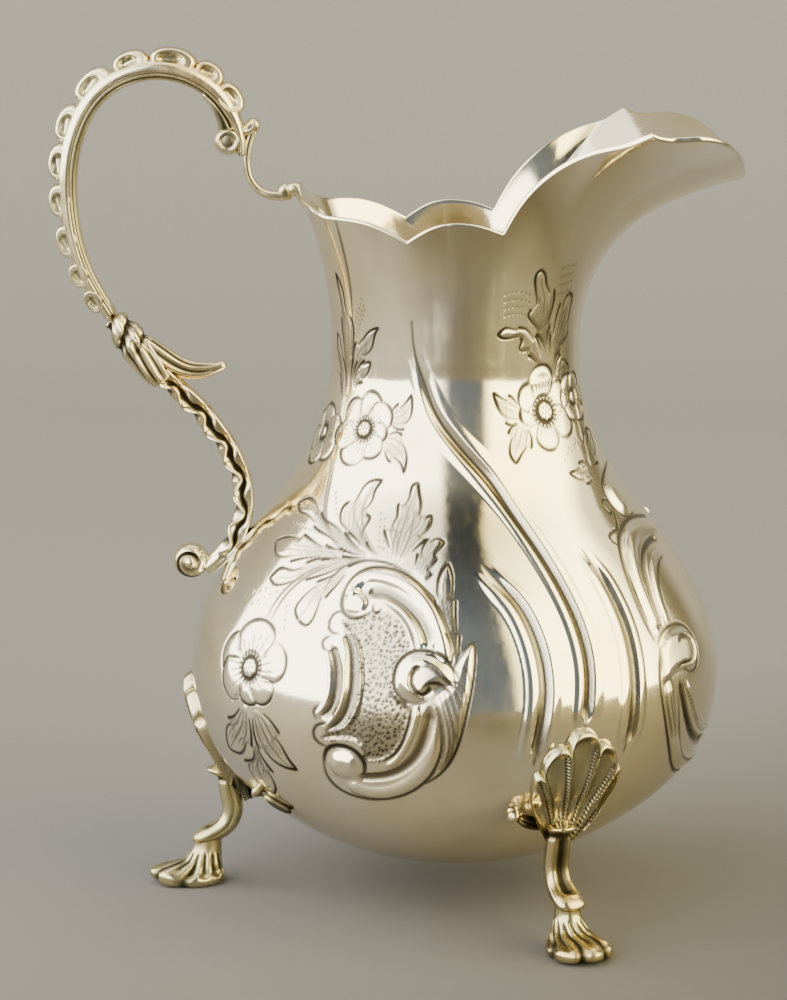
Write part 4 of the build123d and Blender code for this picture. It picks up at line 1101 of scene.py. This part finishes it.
LEG_AZIMUTHS = {"rear": 180, "front_right": -64, "front_left": 64}
LEG_ROUTE = [(39.4, 24.6), (40.7, 20.9), (40.7, 17.2), (40.2, 13.8), (41.2, 11.0), (44.2, 9.1), (47.4, 7.9)]
LEG_SECTIONS = [(0.0, 2.2, 3.2), (0.16, 3.6, 4.2), (0.32, 4.2, 4.3), (0.5, 4.2, 4.4), (0.7, 3.8, 4.7),
        (0.88, 3.0, 5.2), (1.0, 1.8, 4.2)]
# The front legs stand slightly to the rear of their shells' middles, in degrees.
LEG_SHIFT = {"rear": 0.0, "front_right": -1.6, "front_left": 1.6}
# The foot's height, distance from the axis, and half lengths out from the axis and across.
FOOT_SECTIONS = np.array([
    (0.0, 48.2, 6.3, 4.9), (1.2, 48.1, 6.5, 5.1), (2.3, 47.2, 5.2, 4.2), (3.6, 46.0, 3.8, 3.5),
    (5.0, 45.2, 3.0, 2.7), (6.4, 44.7, 2.6, 2.3), (8.8, 44.6, 2.6, 2.2),
])


def leg_relief(turn, share):
    """A collar at the top, two bright edges and a tarnished channel down the outside, and painted shade
    darkening the top where it goes in under the shell.
    """
    n, b = np.cos(np.radians(turn)), np.sin(np.radians(turn))
    collar = hump(share, 0.2, 0.03)
    run = smoothstep((share - 0.25) / 0.06) * smoothstep((0.9 - share) / 0.1)
    channel = hump(b, 0, 0.42) * smoothstep(n / 0.4) * run
    side_line = hump(n, -0.15, 0.12) * run
    under = hump(share, 0.25, 0.025)
    height = collar * (0.3 + 1.9 * np.clip(n, 0, 1) ** 2) - 0.95 * channel - 0.14 * side_line - 0.25 * under
    # The last term is painted shade: the top of the leg darkens where it goes in under its shell.
    dark = channel + 0.45 * side_line + 0.75 * under + 0.8 * smoothstep((0.14 - share) / 0.06)
    return height, np.clip(dark, 0, 1)


def foot_skin(azimuth):
    """A shell-like foot: three rounded toes round its edge, creased and furrowed up to the ankle."""
    ahead, side = facing_axes(azimuth)
    theta = np.linspace(0, 2 * pi, 132, endpoint=False)[None, :]
    turn = (np.degrees(theta) + 180) % 360 - 180
    edge = np.radians(np.linspace(10, 90, 6))
    z = np.r_[np.zeros(4), 0.6 * (1 - np.cos(edge)), np.linspace(0.7, 8.8, 46), 8.9]
    scale = np.r_[0.02, 0.3, 0.6, 0.86, 0.9 + 0.1 * np.sin(edge), np.ones(46), 0.05]
    table = smooth_curve(FOOT_SECTIONS, 200)
    middle, long, wide = [np.interp(z, table[:, 0], table[:, k])[:, None] for k in (1, 2, 3)]
    z, scale = z[:, None], scale[:, None]
    low = smoothstep((4.6 - z) / 2.6)
    crease = hump(turn, -24, 7) + hump(turn, 30, 7) + 0.8 * hump(turn, 84, 9) + 0.8 * hump(turn, -88, 9)
    toes = 0.10 * hump(turn, 52, 20) + 0.08 * hump(turn, 3, 16) + 0.07 * hump(turn, -52, 26)
    furrowed = smoothstep((z - 1.4) / 0.8) * smoothstep((6.4 - z) / 1.5)
    furrows = 0.05 * np.sin(np.radians(turn) * 13 + z * 1.7) * furrowed
    swell = 1 + low * (toes - 0.10 * crease) + furrows
    knuckles = hump(turn, 50, 24) + 0.4 * hump(turn, -52, 30) + 0.3 * hump(turn, 3, 14)
    lift = 0.7 * low * smoothstep((z - 0.4) / 1.0) * knuckles
    lift = lift + 0.9 * low * hump(turn, 0, 55) * smoothstep((scale - 0.7) / 0.2)
    reach = scale * swell
    rings = (middle[..., None] * ahead + (reach * long * np.cos(theta))[..., None] * ahead
             + (reach * wide * np.sin(theta))[..., None] * side + (z + lift)[..., None] * UP)
    dark = 0.75 * (furrows < -0.015) * smoothstep((z - 1.8) / 0.8) * smoothstep((6.6 - z) / 1.2)
    # The flat sole is painted darker as painted shade underneath; the creases between the toes take tarnish.
    dark = np.where(z < 0.05, 0.4, dark + low * 0.9 * crease)
    return skin(rings, np.clip(dark, 0, 1))


SHELL_ROOT = 17.6        # height of the point that the shell's flutes spread from
SHELL_SPREAD = 46.0
# The shell's scalloped edge: each flute's limits in degrees, the edge's distance at both, and the bulge.
FLUTES = [(0.0, 8.6, 21.9, 18.3, 0.0), (8.6, 26.2, 18.3, 15.4, 2.6), (26.2, 46.0, 15.4, 6.0, 3.6)]


def shell_skin(azimuth):
    """A fan of hollow flutes with raised lips and beaded ribs, lying on the body over its leg."""
    psi = np.unique(np.r_[np.linspace(-SHELL_SPREAD, SHELL_SPREAD, 241), -26.2, -8.6, 8.6, 26.2])
    edge = np.zeros_like(psi)
    across = np.zeros_like(psi)
    for low, high, start, end, bulge in FLUTES:
        here = (np.abs(psi) >= low) & (np.abs(psi) <= high)
        f = (np.abs(psi[here]) - low) / (high - low)
        if low == 0:
            edge[here] = end + (start - end) * np.sqrt(np.clip(1 - f ** 2.4, 0, 1))
            across[here] = f
        else:
            edge[here] = start + (end - start) * f + bulge * np.sqrt(np.clip(1 - (2 * f - 1) ** 2, 0, 1))
            across[here] = np.abs(2 * f - 1)
    f = np.r_[np.linspace(0.03, 0.9, 230), np.linspace(0.906, 1.0, 24)]
    r = f[None, :] * edge[:, None]
    q = across[:, None]
    lip = hump(f[None, :], 0.95, 0.045)
    wide = np.clip(r / 9.0, 0.25, 1)
    rib = np.exp(-((1 - q) / (0.24 / np.clip(wide, 0.5, 1))) ** 4)
    beads = (0.5 + 0.5 * np.cos(2 * pi * r / 0.6)) * (f[None, :] < 0.9)
    cup = np.clip(1 - q ** 2, 0, 1) ** 0.7
    z = SHELL_ROOT + r * np.cos(np.radians(psi))[:, None]
    outer = np.clip(np.abs(psi)[:, None] / SHELL_SPREAD, 0, 1)
    base = 1.45 + 2.2 * smoothstep((26.5 - z) / 8.0) - 0.9 * outer ** 2
    fade = np.clip((1.0 - f[None, :]) / 0.07, 0, 1)
    stand = base - 1.1 * cup * wide * (1 - 0.8 * lip) + 0.45 * lip + rib * (0.1 + 0.36 * beads)
    stand = (stand + 0.4) * np.sqrt(1 - (1 - fade) ** 2) - 0.4
    dark = (0.2 * cup * wide + 0.4 * hump(q, 0.74, 0.07)) * (1 - lip)
    dark = dark + 0.5 * rib * (1 - beads) ** 2 * (f[None, :] < 0.9)
    u = r * np.sin(np.radians(psi))[:, None]
    around = azimuth + np.degrees(u / rho_at(np.full_like(z, azimuth).ravel(), z.ravel()).reshape(z.shape))
    top = on_body(around.ravel(), z.ravel(), stand.ravel()).reshape(*z.shape, 3)
    keep = np.linspace(len(f) - 1, 0, 8).astype(int)
    under = on_body(around[:, keep].ravel(), z[:, keep].ravel(), -0.4).reshape(len(psi), len(keep), 3)
    rings = np.concatenate([top, under], axis=1)
    # The underside, against the body, is filled dark at 0.8: painted shade under the shell.
    dark = np.concatenate([np.clip(dark, 0, 1), np.full((len(psi), len(keep)), 0.8)], axis=1)
    return skin(rings, dark)


# Paths of the leaf scrolls on the body beside each leg, in (azimuth, z).
LEAF_SCROLLS = {
    "rear": [[(-138.5, 20.4), (-142, 21.2), (-145.6, 22.4), (-148.4, 23.8)],
             [(138.5, 20.4), (142, 21.2), (145.6, 22.4), (148.4, 23.8)]],
    "front_right": [[(-68.4, 20.6), (-72, 21.6), (-75.6, 23.0), (-78.6, 24.6)]],
    "front_left": [[(68.4, 20.6), (72, 21.6), (75.6, 23.0), (78.6, 24.6)]],
}
CURL_SECTIONS = [(0.0, 0.9, 1.5), (0.4, 1.3, 1.9), (0.74, 1.3, 1.6), (0.9, 1.8, 2.0), (1.0, 1.4, 1.5)]


def curl_relief(turn, share):
    """Two veins along a leaf scroll, a pinched neck and a swollen tip, with painted shade darkening the
    scroll's lower first part.
    """
    vein = hump(np.abs(turn), 38, 16) * smoothstep((0.78 - share) / 0.15)
    neck = hump(share, 0.74, 0.06)
    height = -0.35 * vein - 0.5 * neck + 0.35 * hump(share, 0.9, 0.08)
    # The last dark term is painted shade over the first part of the scroll, at its lower end.
    return height, np.clip(0.9 * vein + 0.8 * neck + 0.75 * smoothstep((0.7 - share) / 0.3), 0, 1)


def build_legs(leg_material, shell_material):
    for name, azimuth in LEG_AZIMUTHS.items():
        stance = azimuth + LEG_SHIFT[name]
        leg = bar(LEG_ROUTE, LEG_SECTIONS, leg_relief, stance, -1, around=96, step=0.16, caps=(0.8, 1.3))
        curls = [strap(path, CURL_SECTIONS, curl_relief, 0.5, caps=(0.8, 1.0), around=48, step=0.16)
                 for path in LEAF_SCROLLS[name]]
        add_casting(f"{name}_leg", [leg], leg_material)
        add_casting(f"{name}_foot", [foot_skin(stance)], leg_material)
        add_casting(f"{name}_shell", [shell_skin(azimuth)], shell_material)
        add_casting(f"{name}_leaf_scrolls", curls, shell_material)


# ---- materials ----------------------------------------------------------------------------------
MATTED_TARNISH = 0.3     # tarnish of the punched ground, beside 1 in the darkest engraved hollow
TARNISH_AND_SHADE_CURVE = 2.1      # how fast the silver darkens with its tarnish and painted shade
TARNISH_ROUGHNESS = 0.32


def silver(name, bright, tarnish, roughness, scratches=1.0, warmth=0.0):
    """Polished silver: warm patches, fine rubbing marks, and tarnish and painted shade where the mesh's
    darkness attribute says so.
    """
    material = bpy.data.materials.new(name)
    material.use_nodes = True
    nodes, links = material.node_tree.nodes, material.node_tree.links
    shader = nodes["Principled BSDF"]
    shader.inputs["Metallic"].default_value = 1.0
    place = nodes.new("ShaderNodeTexCoord")

    def noise(scale, detail, stretch=(1, 1, 1)):
        mapping = nodes.new("ShaderNodeMapping")
        mapping.inputs["Scale"].default_value = stretch
        links.new(place.outputs["Object"], mapping.inputs["Vector"])
        texture = nodes.new("ShaderNodeTexNoise")
        texture.inputs["Scale"].default_value = scale
        texture.inputs["Detail"].default_value = detail
        links.new(mapping.outputs["Vector"], texture.inputs["Vector"])
        return texture.outputs["Fac"]

    def remap(value, low, high, to_low, to_high):
        node = nodes.new("ShaderNodeMapRange")
        links.new(value, node.inputs["Value"])
        for key, number in (("From Min", low), ("From Max", high), ("To Min", to_low), ("To Max", to_high)):
            node.inputs[key].default_value = number
        return node.outputs["Result"]

    def mix(factor, one, other):
        """One colour at factor 0 and the other at 1."""
        node = nodes.new("ShaderNodeMix")
        node.data_type = "RGBA"
        links.new(factor, node.inputs["Factor"])
        for socket, value in ((node.inputs[6], one), (node.inputs[7], other)):
            if isinstance(value, tuple):
                socket.default_value = (*value, 1)
            else:
                links.new(value, socket)
        return node.outputs[2]

    def math(operation, *values):
        node = nodes.new("ShaderNodeMath")
        node.operation = operation
        for socket, value in zip(node.inputs, values):
            if isinstance(value, float):
                socket.default_value = value
            else:
                links.new(value, socket)
        return node.outputs[0]

    # The mesh's darkness attribute holds tarnish in the chased lines and hollows, and painted shade as well.
    tarnish_and_painted_shade = nodes.new("ShaderNodeAttribute")
    tarnish_and_painted_shade.attribute_name = "tarnish_and_painted_shade"
    warm = tuple(b * w for b, w in zip(bright, (1.0, 0.93 - warmth, 0.76 - warmth)))
    patches = remap(noise(42, 3), 0.4, 0.68, 0, 1)
    clean = mix(patches, bright, warm)
    film = remap(noise(160, 4), 0.5, 0.75, 0, 0.35)
    clean = mix(film, clean, tuple(0.8 * b for b in warm))
    matted = nodes.new("ShaderNodeAttribute")
    matted.attribute_name = "matted"
    # The tarnish colour is mixed in for the tarnish and for the painted shade alike.
    dull = math("MULTIPLY_ADD", matted.outputs["Fac"], MATTED_TARNISH, tarnish_and_painted_shade.outputs["Fac"])
    dull.node.use_clamp = True
    kept = math("POWER", math("SUBTRACT", 1.0, dull), TARNISH_AND_SHADE_CURVE)
    links.new(mix(kept, tarnish, clean), shader.inputs["Base Color"])
    rubbed = remap(noise(900, 2, (1, 1, 0.12)), 0.35, 0.7, roughness * 0.8, roughness * 1.35)
    smudged = remap(noise(75, 3), 0.45, 0.7, 0, roughness * 0.9)
    worn = math("MULTIPLY_ADD", dull, TARNISH_ROUGHNESS, math("ADD", rubbed, smudged))
    links.new(worn, shader.inputs["Roughness"])
    bump = nodes.new("ShaderNodeBump")
    bump.inputs["Strength"].default_value = 0.1 * scratches
    bump.inputs["Distance"].default_value = 0.0002
    links.new(noise(260, 4), bump.inputs["Height"])
    links.new(bump.outputs["Normal"], shader.inputs["Normal"])
    return material


body_silver = silver("body_silver", (0.93, 0.86, 0.68), (0.035, 0.030, 0.022), 0.085)
handle_silver = silver("handle_silver", (0.78, 0.73, 0.50), (0.024, 0.021, 0.013), 0.16, 1.6, 0.08)
# The shells', leaf scrolls' and legs' silvers are darker and browner than the body's: painted shade low under
# the belly.
shell_silver = silver("shell_silver", (0.58, 0.55, 0.37), (0.03, 0.026, 0.016), 0.17, 1.4, 0.08)
leg_silver = silver("leg_silver", (0.52, 0.475, 0.27), (0.024, 0.02, 0.010), 0.17, 1.6, 0.10)
SLOT_MATERIALS = {
    "body_silver": body_silver, "handle_silver": handle_silver,
    "shell_silver": shell_silver, "leg_silver": leg_silver,
}
for entry in frame["record"]["subparts"]:
    node = frame["nodes"][entry["node"]]
    for slot_index in range(len(node.material_slots)):
        node.material_slots[slot_index].material = SLOT_MATERIALS[entry["material_slot"]]

build_body(body_silver)
build_handle(handle_silver)
build_legs(leg_silver, shell_silver)


# ---- stage, light and camera --------------------------------------------------------------------
TABLE_FRONT = -1.2       # metres from the jug to the near edge
TABLE_DEPTH = 0.55       # and behind it to the start of the cove
TABLE_HALF_WIDTH = 1.6
COVE = 0.35              # the cove's radius
BACKDROP_TOP = 1.6


def add_stage():
    """A pale warm-grey table that curves up into its backdrop, with painted shade darkening it towards the
    camera and the right.
    """
    profile = [(TABLE_FRONT, 0.0), (TABLE_DEPTH, 0.0)]
    for angle in np.radians(np.arange(1, 13) * 7.5):
        profile.append((TABLE_DEPTH + COVE * sin(angle), COVE - COVE * cos(angle)))
    profile.append((TABLE_DEPTH + COVE, BACKDROP_TOP))
    points = [(x, y, z) for y, z in profile for x in (-TABLE_HALF_WIDTH, TABLE_HALF_WIDTH)]
    faces = [(2 * i, 2 * i + 1, 2 * i + 3, 2 * i + 2) for i in range(len(profile) - 1)]
    mesh = bpy.data.meshes.new("table")
    mesh.from_pydata(points, [], faces)
    mesh.shade_smooth()
    table = bpy.data.objects.new("table", mesh)
    bpy.context.scene.collection.objects.link(table)
    material = bpy.data.materials.new("table_paper")
    material.use_nodes = True
    nodes, links = material.node_tree.nodes, material.node_tree.links
    grain = nodes.new("ShaderNodeTexNoise")
    grain.inputs["Scale"].default_value = 900
    place = nodes.new("ShaderNodeTexCoord")
    links.new(place.outputs["Object"], grain.inputs["Vector"])
    ramp = nodes.new("ShaderNodeValToRGB")
    ramp.color_ramp.elements[0].color = (0.121, 0.120, 0.124, 1)
    ramp.color_ramp.elements[1].color = (0.141, 0.139, 0.144, 1)
    links.new(grain.outputs["Fac"], ramp.inputs["Fac"])
    # Painted shade: the paper darkens towards the camera and to the right, as the light falls off.
    slant = nodes.new("ShaderNodeVectorMath")
    slant.operation = "DOT_PRODUCT"
    links.new(place.outputs["Object"], slant.inputs[0])
    slant.inputs[1].default_value = (0.9, -0.8, 0.0)
    shade = nodes.new("ShaderNodeValToRGB")
    shade.color_ramp.elements[0].color = (1, 1, 1, 1)
    shade.color_ramp.elements[1].color = (0.15, 0.125, 0.088, 1)
    spread = nodes.new("ShaderNodeMapRange")
    spread.inputs["From Min"].default_value = -0.06
    spread.inputs["From Max"].default_value = 0.23
    links.new(slant.outputs["Value"], spread.inputs["Value"])
    links.new(spread.outputs["Result"], shade.inputs["Fac"])
    grain_and_painted_shade = nodes.new("ShaderNodeMix")
    grain_and_painted_shade.data_type = "RGBA"
    grain_and_painted_shade.blend_type = "MULTIPLY"
    grain_and_painted_shade.inputs["Factor"].default_value = 1.0
    links.new(ramp.outputs["Color"], grain_and_painted_shade.inputs[6])
    links.new(shade.outputs["Color"], grain_and_painted_shade.inputs[7])
    links.new(grain_and_painted_shade.outputs[2], nodes["Principled BSDF"].inputs["Base Color"])
    nodes["Principled BSDF"].inputs["Roughness"].default_value = 0.7
    mesh.materials.append(material)


def add_light(name, place, target, size, power, colour):
    lamp = bpy.data.lights.new(name, "AREA")
    lamp.shape = "RECTANGLE"
    lamp.size, lamp.size_y = size
    lamp.energy = power
    lamp.color = colour
    light = bpy.data.objects.new(name, lamp)
    light.location = place
    light.rotation_euler = (Vector(target) - Vector(place)).to_track_quat("-Z", "Y").to_euler()
    bpy.context.scene.collection.objects.link(light)


add_stage()
add_light("overhead", (0.0, 0.25, 1.0), (0, 0, 0.05), (0.8, 0.6), 3.0, (1.0, 0.99, 0.97))

# The room round the jug: light by azimuth (a pale window on the left, a warmer one on the right, the
# darker side of the camera between them), fading towards the ceiling.
ROOM_BY_AZIMUTH = [
    (-180, (0.86, 0.83, 0.74)), (-107, (0.86, 0.83, 0.75)), (-99, (0.024, 0.029, 0.036)),
    (-66, (0.02, 0.023, 0.028)), (-57, (1.0, 0.88, 0.46)), (4, (1.0, 0.88, 0.48)), (20, (0.23, 0.20, 0.13)),
    (60, (0.115, 0.107, 0.092)), (140, (0.135, 0.128, 0.114)), (152, (0.86, 0.83, 0.74)),
    (180, (0.86, 0.83, 0.74)),
]
ROOM_BY_HEIGHT = [(-1.0, 0.35), (0.0, 1.0), (0.70, 0.95), (0.90, 0.3), (1.0, 0.25)]
ROOM_STRENGTH = 8.6


def light_room():
    world = bpy.data.worlds.new("room")
    bpy.context.scene.world = world
    world.use_nodes = True
    nodes, links = world.node_tree.nodes, world.node_tree.links
    place = nodes.new("ShaderNodeTexCoord")
    apart = nodes.new("ShaderNodeSeparateXYZ")
    links.new(place.outputs["Generated"], apart.inputs[0])
    azimuth = nodes.new("ShaderNodeMath")
    azimuth.operation = "ARCTAN2"
    links.new(apart.outputs["Y"], azimuth.inputs[0])
    links.new(apart.outputs["X"], azimuth.inputs[1])

    def ramp(value, low, high, stops):
        share = nodes.new("ShaderNodeMapRange")
        links.new(value, share.inputs["Value"])
        share.inputs["From Min"].default_value = low
        share.inputs["From Max"].default_value = high
        node = nodes.new("ShaderNodeValToRGB")
        elements = node.color_ramp.elements
        while len(elements) < len(stops):
            elements.new(0.5)
        for element, (at, colour) in zip(elements, stops):
            element.position = at
            element.color = (*colour, 1)
        links.new(share.outputs["Result"], node.inputs["Fac"])
        return node.outputs["Color"]

    around = ramp(azimuth.outputs[0], -pi, pi, [((a + 180) / 360, colour) for a, colour in ROOM_BY_AZIMUTH])
    upwards = ramp(apart.outputs["Z"], -1, 1, [((z + 1) / 2, (v, v, v)) for z, v in ROOM_BY_HEIGHT])
    both = nodes.new("ShaderNodeMix")
    both.data_type = "RGBA"
    both.blend_type = "MULTIPLY"
    both.inputs["Factor"].default_value = 1.0
    links.new(around, both.inputs[6])
    links.new(upwards, both.inputs[7])
    background = nodes["Background"]
    links.new(both.outputs[2], background.inputs["Color"])
    background.inputs["Strength"].default_value = ROOM_STRENGTH


light_room()

CAMERA_PLACE = (-13.5, -589.0, 179.0)    # millimetres from the body's axis
CAMERA_PITCH = 10.45     # degrees down
CAMERA_YAW = 0.25        # degrees to the right
SENSOR = 36.0            # millimetres, the sensor's height
FOCAL_LENGTH = 121.14
lens = bpy.data.cameras.new("camera")
lens.sensor_fit = "VERTICAL"
lens.sensor_height = SENSOR
lens.lens = FOCAL_LENGTH
camera = bpy.data.objects.new("camera", lens)
camera.location = ((CAMERA_PLACE[0] + AXIS_X) * MM, CAMERA_PLACE[1] * MM, CAMERA_PLACE[2] * MM)
camera.rotation_euler = (radians(90 - CAMERA_PITCH), 0, radians(-CAMERA_YAW))
bpy.context.scene.collection.objects.link(camera)
bpy.context.scene.camera = camera
